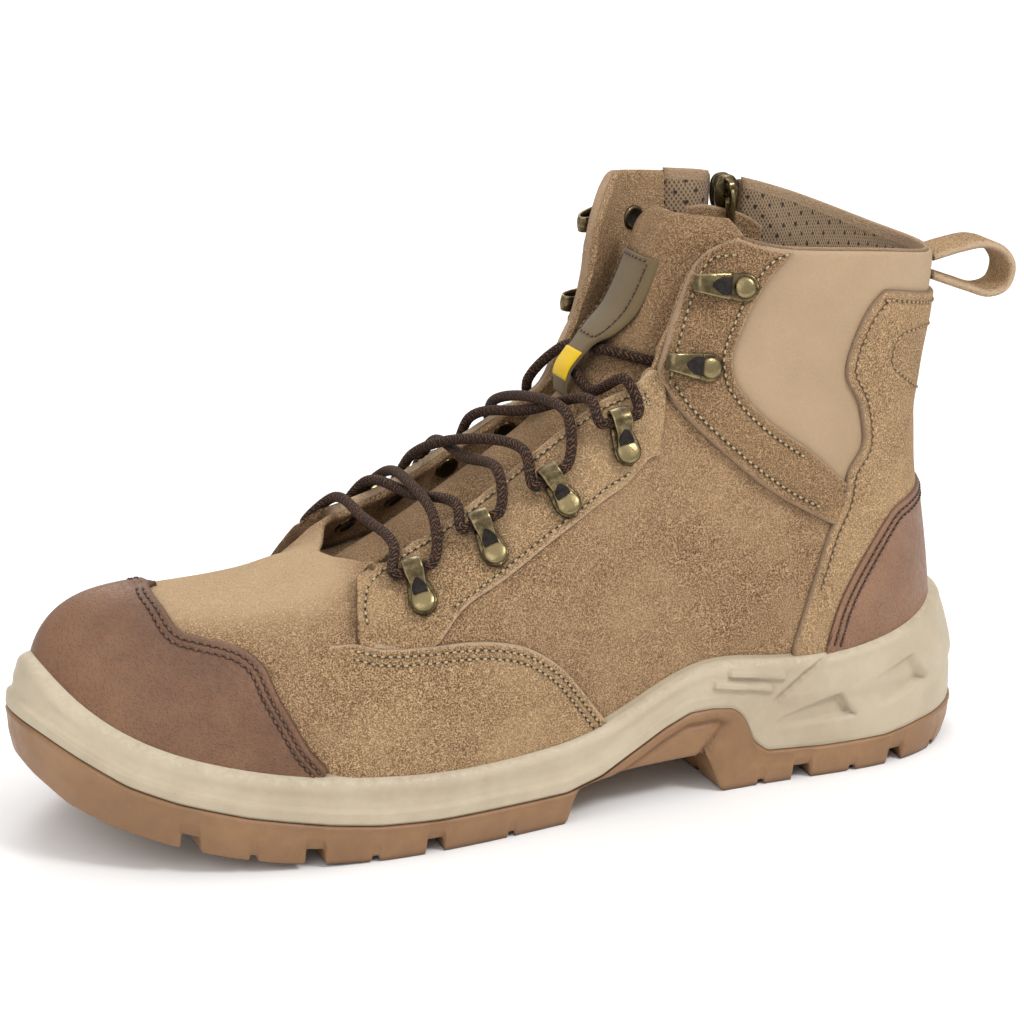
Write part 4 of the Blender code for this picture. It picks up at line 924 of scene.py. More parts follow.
def mesh_cloth(name, dark, light, hole, pitch=4.0):
    """Knitted spacer mesh with rows of staggered holes; its map is in millimetres."""
    look = Look(name).set(Roughness=0.95, Specular_IOR_Level=0.12, Sheen_Weight=0.22, Sheen_Roughness=0.5)
    apart = look.node("ShaderNodeSeparateXYZ", {"Vector": look.uv()})
    across, up = apart.outputs["X"], apart.outputs["Y"]
    rows = look.calc("DIVIDE", up, pitch * MESH_ROW)
    odd = look.calc("FRACT", look.calc("MULTIPLY", look.calc("FLOOR", rows), 0.5))
    columns = look.calc("ADD", look.calc("DIVIDE", across, pitch), odd)
    x, y = look.cell_distance(columns, HOLE_STRETCH[0]), look.cell_distance(rows, HOLE_STRETCH[1])
    reach = look.calc("POWER", look.calc("ADD", look.calc("POWER", x, 2.0), look.calc("POWER", y, 2.0)), 0.5)
    wobble = look.span(look.noise(480.0, 2.0), 0.25, 0.75, -0.05, 0.05)
    holes = look.span(look.calc("ADD", reach, wobble), 0.05, 0.16)
    twist, climb = look.calc("MULTIPLY", across, KNIT[0]), look.calc("MULTIPLY", up, KNIT[1])
    knit, rib = [look.calc("SINE", look.calc(way, twist, climb)) for way in ("ADD", "SUBTRACT")]
    loops = look.span(look.calc("MAXIMUM", knit, rib), -0.2, 1.0)
    fuzz = look.span(look.noise(1600.0, 3.0, 0.7), 0.3, 0.7)
    body = look.mix(loops, dark, light)
    body = look.tint(body, dark, fuzz, 0.3, 0.0)
    look.colour(look.mix(holes, hole, body))
    look.bump(loops, 0.22, 0.6).bump(holes, 0.9, 0.8).bump(fuzz, 0.12, 0.5)
    return look.material


def woven(name, dark, light, pitch=0.55):
    """Close woven tape; its map is in millimetres."""
    look = Look(name).set(Roughness=0.86, Specular_IOR_Level=0.2, Sheen_Weight=0.15, Sheen_Roughness=0.5)
    apart = look.node("ShaderNodeSeparateXYZ", {"Vector": look.uv()})
    turn = 2 * math.pi / pitch
    warp, weft = [look.calc("SINE", look.calc("MULTIPLY", apart.outputs[way], turn)) for way in "XY"]
    weave = look.span(look.calc("MULTIPLY", warp, weft), -1.0, 1.0)
    fuzz = look.span(look.noise(900.0, 3.0, 0.65), 0.3, 0.7)
    patches = look.span(look.noise(60.0, 4.0, 0.6), 0.3, 0.7)
    body = look.mix(look.scaled(weave, 0.2, 0.8), dark, light)
    body = look.tint(body, dark, patches, 0.25, 0.0)
    look.colour(body)
    look.bump(weave, 0.14, 0.5).bump(fuzz, 0.10, 0.4)
    return look.material


def thread(name, hole, dark, light):
    """Sewing thread, with painted shade where it dips into its needle holes."""
    look = Look(name).set(Roughness=0.7, Specular_IOR_Level=0.3, Sheen_Weight=0.1)
    twist = look.span(look.noise(1400.0, 2.0, 0.6), 0.3, 0.7)
    look.colour(look.mix(look.mark("crown"), hole, look.mix(twist, dark, light)))
    look.bump(twist, 0.12, 0.6)
    return look.material


def brass(name, dark, light):
    """Antiqued brass: brighter on rims and high places, from rubbed wear and painted highlight, with painted
    shade in narrow corners.
    """
    look = Look(name).set(Metallic=1.0, Specular_IOR_Level=0.5)
    patina = look.span(look.noise(420.0, 4.0, 0.65), 0.34, 0.66)
    brushed = look.span(look.noise(2200.0, 2.0, 0.6), 0.3, 0.7)
    body = look.mix(patina, dark, light)
    # Places marked bright are drawn paler: rubbed wear and painted highlight.
    rubbed_and_highlit = look.span(look.mark("edge"), 0.0, 1.0)
    body = look.tint(body, tone(154, 138, 100), rubbed_and_highlit, 0.0, 0.65)
    look.colour(look.painted_corner_shade(body, tone(22, 18, 14), 2.4, 0.92))
    look.rough(look.scaled(patina, 0.42, 0.24))
    look.bump(patina, 0.06, 0.4).bump(brushed, 0.03, 0.4)
    return look.material


def braid(name):
    """Round braided cord: dark yarn with flecks that are marked on its points."""
    look = Look(name).set(Roughness=0.85, Specular_IOR_Level=0.15, Sheen_Weight=0.03, Sheen_Roughness=0.5)
    fuzz = look.span(look.noise(1500.0, 3.0, 0.7), 0.3, 0.7)
    body = look.mix(look.span(look.mark("grey"), 0.2, 0.8), tone(25, 21, 22), tone(74, 60, 50))
    body = look.mix(look.span(look.mark("orange"), 0.2, 0.8), body, tone(120, 78, 47))
    body = look.tint(body, tone(22, 18, 18), fuzz, 0.35, 0.0)
    look.colour(look.painted_corner_shade(body, tone(12, 10, 10), 3.0, 0.8))
    look.bump(fuzz, 0.16, 0.6)
    return look.material


def shade_fill_look(name, dark, light):
    """Dark metal-like fill for a recess: painted shade in an opening."""
    look = Look(name).set(Metallic=0.6, Roughness=0.55, Specular_IOR_Level=0.4)
    patina = look.span(look.noise(700.0, 3.0, 0.6), 0.3, 0.7)
    look.colour(look.mix(patina, dark, light))
    look.bump(patina, 0.06, 0.5)
    return look.material


SUEDE = suede("suede", tone(101, 73, 48), tone(206, 173, 132), tone(200, 174, 146))
SUEDE_TOP = suede("suede_rubbed", tone(88, 62, 41), tone(182, 149, 112), tone(176, 149, 122))
SHELL_SUEDE = suede("suede_shell", tone(97, 69, 46), tone(196, 163, 125), tone(200, 174, 146), False)
COLLAR_LEATHER = smooth_leather("collar_leather", tone(160, 136, 108), tone(168, 144, 115))
CAP_LEATHER = pebbled("cap_leather", tone(92, 61, 41), tone(122, 85, 59))
COUNTER_LEATHER = pebbled("counter_leather", tone(118, 84, 62), tone(138, 102, 77))
MIDSOLE = foam_rubber("midsole_foam", tone(170, 156, 133), tone(184, 171, 148))
GUM = gum_rubber("gum_rubber", tone(132, 98, 66), tone(148, 112, 78))
LINING = mesh_cloth("collar_mesh", tone(102, 83, 65), tone(162, 139, 112), tone(62, 46, 34))
INSIDE = woven("inner_lining", tone(96, 76, 58), tone(128, 106, 84), 1.1)
INSOLE_CLOTH = woven("insole_cloth", tone(70, 60, 52), tone(104, 92, 80), 1.3)
LABEL_CLOTH = woven("label_tape", tone(88, 74, 50), tone(119, 102, 73))
YELLOW = woven("yellow_patch", tone(206, 166, 20), tone(226, 190, 40), 0.7)
ZIP_TAPE = woven("zip_tape", tone(52, 42, 34), tone(84, 70, 56))
BRASS = brass("antique_brass", tone(58, 50, 37), tone(116, 102, 74))
SHADE_FILL = shade_fill_look("painted_shade_fill", tone(24, 20, 18), tone(46, 40, 36))
DARK_THREAD = thread("dark_thread", tone(46, 31, 23), tone(82, 57, 42), tone(122, 90, 67))
TAN_THREAD = thread("tan_thread", tone(52, 39, 28), tone(156, 133, 97), tone(196, 174, 134))
PALE_THREAD = thread("pale_thread", tone(92, 70, 49), tone(146, 119, 87), tone(182, 155, 119))
LACE_BRAID = braid("lace_braid")


# Upper
SHELL_STEP = 0.07
WALL_COUNT = 56
RIM_COUNT = 5
# How far below the top edge the shell's last rows are, and how strongly that edge is rounded
EDGE_DROPS = (3.0, 2.0, 1.3, 0.8, 0.42, 0.18, 0.05, 0.0)
SHELL_ROUNDING = 1.6
EDGE_DRAW = 0.49
# Behind the toe cap the two sides meet along a ridge
RIDGE_T = THROAT_EDGE[-1][0]
# The zip's slot starts one part in so many up the wall
SLOT = (ZIP_T - ZIP_HALF, ZIP_T + ZIP_HALF)
SLOT_PARTS = 7
SLOT_CLEAR = 0.04
BAND_MIDDLE = (
    (0.0, 0.42), (2.35, 0.42), (2.69, 0.416), (3.2, 0.468), (3.6, 0.49), (4.1, 0.515), (4.45, 0.60),
)
FLAP_MIDDLE = ((0.55, 4.45), (0.68, 4.28), (0.79, 4.10), (0.91, 3.86), (1.0, 3.64))
# The flaps and eyestays are lined with suede from here forward and up
LINED_FROM = 3.45
LINED_ABOVE = 0.30
# Millimetres of a cloth's map for one step of t
SHELL_MAP = 22.0
PAD_MAP = 24.0
SHARE_STEP = 0.004


def share_scale(t, top):
    """Millimetres for a whole share of the wall, measured just below its top."""
    return np.linalg.norm(form(t, top) - form(t, top - SHARE_STEP)) / SHARE_STEP


def shell_columns():
    """Sections of the shell, with a pair exactly at the zip's slot."""
    ts = np.arange(0, LOOP, SHELL_STEP)
    ts = ts[(abs(ts - SLOT[0]) > SLOT_CLEAR) & (abs(ts - SLOT[1]) > SLOT_CLEAR)]
    ts = ts[(ts < SLOT[0]) | (ts > SLOT[1])]
    return np.sort(np.concatenate([ts, SLOT]))


def shell_shares(ts):
    """Rows of each section: up to the rim, up the wall, then close together at the top edge."""
    rows = []
    for t in ts:
        rim, top = rim_share(t), edge_share(t)
        drops = top - np.array(EDGE_DROPS) / share_scale(t, top)
        wall = np.linspace(rim, drops[0], WALL_COUNT + 1)
        rows.append(np.concatenate([np.linspace(0, rim, RIM_COUNT + 1), wall[1:], drops[1:]]))
    return np.array(rows)


def smooth_region(t, v):
    """Where the upper is smooth leather: the collar, between the hook flap and the rear panel."""
    side = one_side(t)
    return (v > on_line(BAND_MIDDLE, side)) & (side < on_line(FLAP_MIDDLE, v)) & (side < BAND_MIDDLE[-1][0])


def brushed_and_lit(t, v):
    """How pale the suede is over the top of the vamp, behind the toe cap: brushed nap and painted light on
    the top.
    """
    return smooth_step((one_side(t) - 9.4) / 0.7) * smooth_step((v - 0.42) / 0.36)


def upper_shell():
    ts = shell_columns()
    v = shell_shares(ts)
    columns, rows = v.shape
    t = np.repeat(ts[:, None], rows, axis=1)
    top = np.array([edge_share(one) for one in ts])
    away = np.linalg.norm(form(t, v) - form(ts, top)[:, None], axis=2)
    open_edge = (one_side(ts) < RIDGE_T)[:, None]
    draw = np.where(open_edge, EDGE_DRAW * WALL * (1 - rounded(away / WALL * SHELL_ROUNDING)), 0.0)
    outer = laid(t, v, -draw)
    inner = laid(t, v, -WALL + draw)
    index = np.arange(columns * rows).reshape(columns, rows)
    for c in np.flatnonzero((ts >= RIDGE_T) & (ts < TOE)):
        weld(index, (outer, inner), c, np.argmin(abs(ts - (LOOP - ts[c]))))
    slot_row = RIM_COUNT + WALL_COUNT // SLOT_PARTS
    quads, outside, inside_looks = [], [], []
    for c in range(columns):
        after = (c + 1) % columns
        for r in range(rows - 1):
            if ts[c] == SLOT[0] and r >= slot_row:
                continue
            quad = (index[c, r], index[c, r + 1], index[after, r + 1], index[after, r])
            quads.append(tuple(dict.fromkeys(quad)))
            outside.append(int(smooth_region(ts[c] + SHELL_STEP / 2, v[c, r])))
            suede_lined = one_side(ts[c]) > LINED_FROM and v[c, r] > LINED_ABOVE
            inside_looks.append(0 if suede_lined else 2)
    points, faces = closed_sheet(outer.reshape(-1, 3), inner.reshape(-1, 3), quads)
    which = outside + inside_looks
    which += [0] * (len(faces) - len(which))
    points, faces, used = compacted(points, faces)
    # The vamp's top is paler: brushed nap and painted light.
    piece("upper_shell", points, faces, [SHELL_SUEDE, COLLAR_LEATHER, INSIDE], "suede", stands_for=("upper",),
          which=which, marks={"rub_and_light": np.tile(brushed_and_lit(t, v).ravel(), 2)[used]},
          uv=sheet_map(t * SHELL_MAP, form(t, v)[:, :, 2])[used])


# Collar padding: t from, t to; clear of the slot, down to a share of the wall
PAD_CLEAR = 0.02
PAD_LOW = 0.40
COLLAR_PADS = (
    ("collar_pad_rear", SLOT[1] - LOOP + PAD_CLEAR, 3.95),
    ("collar_pad_inner", LOOP - 3.58, SLOT[0] - PAD_CLEAR),
)
PAD_STEP = 0.05
PAD_ROWS = 33
# How far below the padding's top edge its last rows are, and how many of them are bound, not mesh
PAD_DROPS = (6.0, 4.0, 2.6, 1.6, 0.9, 0.45, 0.15, 0.04, 0.0)
BOUND_ROWS = 6
# Its back inside the wall, its thickness at the edge and further in, and the reach of its crown
PAD_BACK = 0.9
PAD_LEAST = 0.9
PAD_MORE = 0.7
PAD_ROUNDING = 3.0
PAD_CROWN = 16.0
PAD_WAVE = 0.22
PAD_LIP = 0.9


def collar_pads():
    for name, t0, t1 in COLLAR_PADS:
        ts = np.linspace(t0, t1, int((t1 - t0) / PAD_STEP) + 2)
        v = []
        for t in ts:
            top = edge_share(t % LOOP)
            drops = top - np.array(PAD_DROPS) / share_scale(t, top)
            v.append(np.concatenate([np.linspace(PAD_LOW, drops[0], PAD_ROWS + 1)[:-1], drops]))
        v = np.array(v)
        t = np.repeat(ts[:, None], v.shape[1], axis=1)
        face = form(t, v)
        away = nearest(face, np.vstack([face[:, -1], face[:, 0], face[0], face[-1]]))
        thick = PAD_LEAST + (wall_depth(t, v) - WALL + PAD_MORE) * smooth_step(away / PAD_CROWN)
        waves = PAD_WAVE * np.sin(face[:, :, 0] / 5.3 + face[:, :, 2] / 9.0) * smooth_step(away / 10.0)
        lip = np.zeros(face.shape)
        lip[:, :, 2] = PAD_LIP * bell(nearest(face, face[:, -1]), 2.2)
        outer = laid(t, v, np.full(t.shape, -WALL + PAD_BACK)) + lip
        inner = laid(t, v, -WALL - (thick + waves) * rounded(away / PAD_ROUNDING)) + lip
        quads = grid_quads(*t.shape)
        points, faces = closed_sheet(outer.reshape(-1, 3), inner.reshape(-1, 3), quads)
        bound = [int(row >= t.shape[1] - 1 - BOUND_ROWS) for row in quads[:, 0] % t.shape[1]]
        which = bound * 2 + [1] * (len(faces) - 2 * len(quads))
        made = piece(name, points, faces, [LINING, SUEDE_TOP], "cloth", which=which,
                     uv=sheet_map(t * PAD_MAP, face[:, :, 2]))


# Overlays, from their outlines in t and v
WING_TOP = (
    (5.05, 0.015), (5.50, 0.067), (6.03, 0.123), (6.68, 0.18), (7.35, 0.227), (7.90, 0.263), (8.45, 0.297),
    (9.05, 0.345), (9.40, 0.393), (9.60, 0.41), (10.1, 0.43),
)
EYESTAY_SEAM = (
    (4.85, 0.36), (5.40, 0.345), (6.33, 0.393), (7.10, 0.39), (7.68, 0.37), (8.18, 0.345), (8.30, 0.290),
    (8.60, 0.295), (9.12, 0.36),
)
EYESTAY_THROAT = (
    (4.85, 0.485), (5.10, 0.500), (5.55, 0.525), (6.20, 0.608), (6.90, 0.676), (7.80, 0.706), (8.70, 0.696),
    (9.18, 0.684), (9.45, 0.663),
)
EYESTAY_FRONT = ((9.12, 0.36), (9.33, 0.393), (9.50, 0.47), (9.57, 0.56), (9.58, 0.62), (9.45, 0.663))
# Stitched rims of an eyestay: along the throat and round its front, and along its lower edge
EYESTAY_RIM = EYESTAY_THROAT[2:-1] + ((9.45, 0.655), (9.57, 0.60), (9.55, 0.52), (9.46, 0.45))
EYESTAY_LOW_RIM = EYESTAY_SEAM[1:6]
# How far the panels stand off the form
PANEL = 1.9
BACKSTAY_LIFT = 1.7
EYESTAY_FRONT_LIFT = 2.0
UNDER_WING = 0.9
FACING_LIFT = 2.7
COUNTER_LIFT = 3.1
COUNTER_BASE = 0.6
CAP_LIFT = 2.0
WING_LIFT = 1.9
WING_SINK = 0.25
# Their lower edges reach below the midsole's rim, and no column is shorter than a least share
BELOW_RIM = -2.0
CAP_BELOW_RIM = -1.5
LEAST_TALL = 0.004
# Insets of the seams from the cut edges
RIM_SEAM = 3.0
LOW_SEAM = 2.6
WING_SEAMS = (2.3, 4.6)
COUNTER_SEAMS = (2.4, 4.6)
# Toe cap: each seam's inset and the depth of its groove, the grooves' width and the cut edge's rounding
CAP_SEAMS = ((2.6, 0.30), (4.6, 0.35))
CAP_GROOVE = 0.55
CAP_ROUNDING = 1.6
CAP_COLUMNS = 261
# The wing fades out from here on in t, and sooner low down, where the toe cap covers it
WING_FADE_FROM = 9.28
WING_FADE = 0.55
WING_CLEAR_OF_CAP = 0.75
WING_SEAM_END = 9.5
# The band's end, which tucks under the rear panel between these places in t
FACING_TUCK = ((2.20, 0.405, 2.32, 0.325),)
TUCK = (2.45, 2.80)
TUCKED_LIFT = 1.2
FLAP_SEAM_TOP = 0.966
# Rear panel: its top edge, how dark that cut edge is, and its sewn ornament
BACKSTAY_TOP = 0.905
BACKSTAY_DARK = 0.55
BACKSTAY_SHAPE = (
    (0.55, 0.825), (1.40, 0.82), (1.90, 0.775), (1.94, 0.73), (1.72, 0.70), (1.2, 0.675), (0.6, 0.665),
)


def toe_cap():
    start, finish = CAP_EDGE[0][0], CAP_EDGE[-1][0]
    ts = np.linspace(start, LOOP - start, CAP_COLUMNS)
    edge = smooth_path(CAP_EDGE, 10)
    high = np.interp(one_side(ts), edge[:, 0], edge[:, 1])
    low = np.minimum(over_rim(ts, CAP_BELOW_RIM), high - LEAST_TALL)
    t, v = columns_between(ts, low, high, spread(60.0, 1.6, False, True, CAP_ROUNDING))
    face = form(t, v)
    away = nearest(face, face[one_side(ts) < finish, -1])
    lift = CAP_LIFT * rounded(away / CAP_ROUNDING)
    for inset, depth in CAP_SEAMS:
        lift -= depth * bell(away - inset, CAP_GROOVE)
    outer, inner = laid(t, v, lift), laid(t, v, np.full(t.shape, PANEL_BASE))
    index = np.arange(t.size).reshape(t.shape)
    for c in range(len(ts) // 2):
        if one_side(ts[c]) >= finish:
            weld(index, (outer, inner), c, len(ts) - 1 - c)
    quads = [tuple(dict.fromkeys(index.ravel()[list(quad)])) for quad in grid_quads(*t.shape)]
    points, faces = closed_sheet(outer.reshape(-1, 3), inner.reshape(-1, 3), quads)
    points, faces, used = compacted(points, faces)
    piece("toe_cap_leather", points, faces, [CAP_LEATHER], "leather", stands_for=("toe_cap",),
          marks={"edge": edge_mark(away)[used]})
    found = []
    for inset, _ in CAP_SEAMS:
        found += seams(CAP_EDGE[:-1], inset, CAP_LIFT - 0.1)
    stitches("toe_cap_stitches", found, DARK_THREAD)


def wing():
    """Lower edge of the vamp over the quarter, on both sides, fading out towards the toe."""
    line = line_at(WING_TOP, np.linspace(0, 1, 190))
    low = np.minimum(over_rim(line[:, 0], BELOW_RIM), line[:, 1] - LEAST_TALL)
    t, v = between(np.stack([line[:, 0], low], -1), line, 1.6, ("high",))
    sooner = WING_CLEAR_OF_CAP * (1 - smooth_step((v - 0.15) / 0.2))
    fade = 1 - smooth_step((t - WING_FADE_FROM + sooner) / WING_FADE)
    thick = WING_LIFT * fade - WING_SINK * (1 - fade)
    grooves = [(inset, 0.2) for inset in WING_SEAMS]
    panel("vamp_wing_outer", t, v, thick, SUEDE, ("high",), grooves=grooves)
    panel("vamp_wing_inner", LOOP - t[::-1], v[::-1], thick[::-1], SUEDE, ("high",), grooves=grooves)
    places = [row for row in WING_TOP if row[0] < WING_SEAM_END]
    found = []
    for inset in WING_SEAMS:
        found += seams(places, inset, WING_LIFT - 0.05)
    stitches("vamp_stitches", found, TAN_THREAD)


def eyestays():
    """Lower lace facings: tucked under the wing, standing up at the front, where the layers show; their
    front's cut edge is darkened as painted shade.
    """
    places = spread(150.0, 1.5, False, True)
    low, high = line_at(EYESTAY_SEAM, places), line_at(EYESTAY_THROAT, places)
    t, v = between(low, high, 1.5, ("low", "high"))
    share = np.linspace(0, 1, t.shape[1])
    bow = line_at(EYESTAY_FRONT, share)
    chord = low[-1] + (high[-1] - low[-1]) * share[:, None]
    push = smooth_step((places - 0.80) / 0.20)[:, None]
    t = t + push * (bow[:, 0] - chord[:, 0])[None]
    v = v + push * (bow[:, 1] - chord[:, 1])[None]
    over_wing = smooth_step((v - on_line(WING_TOP, t) - 0.012) / 0.05)
    tucked = np.where(t > 7.9, over_wing, 1.0)
    thick = UNDER_WING + (PANEL + EYESTAY_FRONT_LIFT * towards_front(t) - UNDER_WING) * tucked
    # The front's cut edge is darkened: painted shade, as it faces away from the key light.
    dark_edge = smooth_step((t - 9.22) / 0.12)
    rest = {"grooves": ((RIM_SEAM, 0.25),), "puff": 0.35}
    panel("eyestay_outer_suede", t, v, thick, SUEDE, ("low", "high", "finish"), stands_for=("eyestay_outer",),
          dark_edge=dark_edge, **rest)
    panel("eyestay_inner_suede", LOOP - t[::-1], v[::-1], thick[::-1], SUEDE, ("low", "high", "start"),
          stands_for=("eyestay_inner",), dark_edge=dark_edge[::-1], **rest)
    found = seams(EYESTAY_RIM, RIM_SEAM, PANEL + 0.1, EYESTAY_FRONT_LIFT)
    found += seams(EYESTAY_LOW_RIM, -LOW_SEAM, PANEL)
    stitches("eyestay_stitches", found, TAN_THREAD)


def along_table(rows, places):
    """Rows of places read with even steps between rows and rounded corners."""
    path = smooth_path(rows, 16)
    at = np.asarray(places) * (len(path) - 1)
    return np.stack([np.interp(at, np.arange(len(path)), path[:, k]) for k in (0, 1)], -1)


def facings():
    """Hook flaps with their diagonal bands."""
    found = []
    tables = {"facing_outer": FACING + FACING_TUCK, "facing_inner": FACING[:INNER_FACING_ROWS] + FACING_END}
    for name, table in tables.items():
        inner_side = name.endswith("inner")
        back, front = [row[:2] for row in table], [row[2:] for row in table]
        places = spread(path_length(np.array(back)) * 34.0, 1.4)
        path_back, path_front = along_table(back, places), along_table(front, places)
        grid = path_back[:, None] + (path_front - path_back)[:, None] * spread(28.0, 1.4)[None, :, None]
        t, v = grid[:, :, 0].T[:, ::-1], grid[:, :, 1].T[:, ::-1]
        if inner_side:
            t, v = LOOP - t[::-1], v[::-1]
        out_of_tuck = smooth_step((one_side(t) - TUCK[0]) / (TUCK[1] - TUCK[0]))
        thick = TUCKED_LIFT + (FACING_LIFT - TUCKED_LIFT) * out_of_tuck
        panel(name + "_suede", t, v, thick, SUEDE_TOP, ALL_EDGES, stands_for=(name,),
              grooves=((RIM_SEAM, 0.3),), puff=0.3)
        flap_front = [(t_, min(v_, FLAP_SEAM_TOP)) for t_, v_ in front[:FLAP_ROWS]]
        flap_back = [(t_, min(v_, FLAP_SEAM_TOP)) for t_, v_ in back if t_ > TUCK[1]]
        band_front = [row for row in front[FLAP_ROWS:] if row[0] > TUCK[1]]
        turn = mirrored if inner_side else list
        inset = -RIM_SEAM if inner_side else RIM_SEAM
        for line, aside in ((flap_front, inset), (flap_back, -inset), (band_front, inset)):
            found += seam(turn(line), aside, FACING_LIFT + 0.05)
    stitches("facing_stitches", found, TAN_THREAD)


def backstay():
    """Rear panel across the heel's back, wider and narrower as it goes up."""
    v_rows = BACKSTAY_TOP * spread(118.0, 1.5, False, True)
    edge = smooth_path([*BACKSTAY_EDGE, (BACKSTAY_TOP, 2.02)], 12)
    front = np.interp(v_rows, edge[:, 0], edge[:, 1])
    ways = spread(130.0, 1.6)
    t = (ways[:, None] * 2 - 1) * front[None]
    v = np.repeat(v_rows[None], len(ways), axis=0)
    low = over_rim(t[:, 0], BELOW_RIM)
    v = np.maximum(v, low[:, None] + 1e-4 * np.arange(v.shape[1])[None])
    panel("backstay_suede", t, v, BACKSTAY_LIFT, SUEDE, ("high", "start", "finish"), stands_for=("backstay",),
          grooves=((RIM_SEAM, 0.25),), puff=0.3, dark_edge=np.full(t.shape, BACKSTAY_DARK))
    side = [(t_, v_) for v_, t_ in BACKSTAY_EDGE[1:]]
    found = []
    for way in (1, -1):
        found += seam([(way * t_, v_) for t_, v_ in side], -way * RIM_SEAM, BACKSTAY_LIFT + 0.1)
        found += seam([(way * t_, v_) for t_, v_ in BACKSTAY_SHAPE], 0.0, BACKSTAY_LIFT + 0.32)
    reach = BACKSTAY_EDGE[-1][1]
    top = [(t_, BACKSTAY_TOP) for t_ in (reach, 1.2, 0.0, -1.2, -reach)]
    found += seam(top, -RIM_SEAM, BACKSTAY_LIFT + 0.1)
    stitches("backstay_stitches", found, PALE_THREAD)


def heel_counter():
    ts = (spread(150.0, 1.6) * 2 - 1) * COUNTER_EDGE[-1][0]
    edge = smooth_path(COUNTER_EDGE, 10)
    high = np.interp(abs(ts), edge[:, 0], edge[:, 1])
    low = np.minimum(over_rim(ts, BELOW_RIM), high - LEAST_TALL)
    t, v = columns_between(ts, low, high, spread(50.0, 1.5, False, True))
    panel("heel_counter_leather", t, v, COUNTER_LIFT, COUNTER_LEATHER, ("high",), base=COUNTER_BASE,
          stands_for=("heel_counter",), grooves=tuple(zip(COUNTER_SEAMS, (0.25, 0.3))), slot="leather")
    line = [(-t_, v_) for t_, v_ in COUNTER_EDGE[:0:-1]] + list(COUNTER_EDGE)
    found = []
    for inset in COUNTER_SEAMS:
        found += seam(line, inset, COUNTER_LIFT - 0.05)
    stitches("heel_counter_stitches", found, DARK_THREAD)


# Sole
SOLE_COLUMNS = 560
BEAD_TOP = 4.6
# Moulded shapes in the heel's sides: corners of sunk pockets and raised bars in s, z; plate's edge in z, s
HEEL_POCKETS = (
    ((74.0, 20.4), (53.9, 25.4), (48.5, 17.2), (79.0, 16.4)),
    ((46.4, 27.4), (27.8, 33.2), (21.0, 23.6), (38.6, 18.4)),
)
HEEL_BARS = (
    ((92.8, 38.3), (73.2, 34.5), (73.2, 32.1), (92.8, 35.9)),
    ((98.2, 35.6), (77.9, 31.4), (77.9, 29.0), (98.2, 33.2)),
)
PLATE_EDGE = ((11.0, 79.0), (15.5, 77.8), (26.3, 75.0), (37.0, 59.0), (60.0, 28.0))
POCKET_DEPTH = 3.0
BAR_HEIGHT = 1.4
PLATE_HEIGHT = 1.0
PLATE_CREASE = 0.9
# Above this height the plate's edge shows, and behind this place in t
PLATE_LOW = 22.5
HEEL_END = 4.0
# Steps out of the midsole's side: the forefoot's bead and the hollow over it, the rim's lip, the heel's belly
BEAD = 0.8
HOLLOW = 0.55
LIP = 0.55
BELLY = 0.8
RIM_DRAW = 0.9
RIM_ROUNDING = 1.2
# Reach over which the corners of the sole's lines are rounded
JOINT_SOFT = 1.2
PLATE_SOFT = 2.0
GROUND_SOFT = 0.9


def sole_columns():
    """Sections round the sole, closer together where the joint line turns at the arch."""
    ts = np.linspace(0, LOOP, SOLE_COLUMNS, endpoint=False)
    extra = np.arange(2.4, 4.3, 0.02)
    return np.unique(np.round(np.concatenate([ts, extra, LOOP - extra]), 4))


def inside(corners, s, z):
    """How many millimetres places of the sole's side are inside a convex outline."""
    corners = np.array(corners)
    middle = corners.mean(axis=0)
    depth = np.full(np.shape(s), np.inf)
    for a, b in zip(corners, np.roll(corners, -1, axis=0)):
        way = b - a
        normal = unit(np.array([way[1], -way[0]]))
        if (middle - a).dot(normal) < 0:
            normal = -normal
        depth = np.minimum(depth, (s - a[0]) * normal[0] + (z - a[1]) * normal[1])
    return depth


def side_relief(share, tall, side):
    """Step out of the midsole's side, all round the shoe."""
    up, down = share * tall, (1 - share) * tall
    forefoot = smooth_step((side - 3.7) / 0.8)
    bead = BEAD * smooth_step(up / 0.9) * (1 - smooth_step((up - BEAD_TOP + 0.7) / 0.9)) * forefoot
    hollow = -HOLLOW * bell(up - BEAD_TOP - 2.2, 2.0) * forefoot
    lip = LIP * bell(down - 2.4, 1.7)
    belly = BELLY * smooth_step(up / 1.2) * np.sin(np.pi * np.clip(share, 0, 1)) ** 0.6 * (1 - forefoot)
    return bead + hollow + lip + belly - RIM_DRAW * (1 - rounded(down / RIM_ROUNDING))


def heel_relief(s, z, share, side):
    """Step out of the midsole's side by the heel's sunk pockets, raised bars and plate."""
    step_out = np.zeros(s.shape)
    for corners in HEEL_POCKETS:
        front, rear = max(corners)[0], min(corners)[0]
        sunk = POCKET_DEPTH * np.clip((front - s) / (front - rear), 0, 1)
        step_out -= sunk * smooth_step((inside(corners, s, z) + 0.4) / 1.6)
    for corners in HEEL_BARS:
        step_out += BAR_HEIGHT * smooth_step((inside(corners, s, z) + 0.35) / 0.7)
    past = s - on_line(PLATE_EDGE, z)
    fade = smooth_step((z - PLATE_LOW) / 5.0) * smooth_step((1 - share) / 0.08)
    plate = PLATE_HEIGHT * (1 - smooth_step(past + 0.5)) - PLATE_CREASE * bell(past - 0.9, 0.8)
    return step_out + plate * fade * (side < HEEL_END)


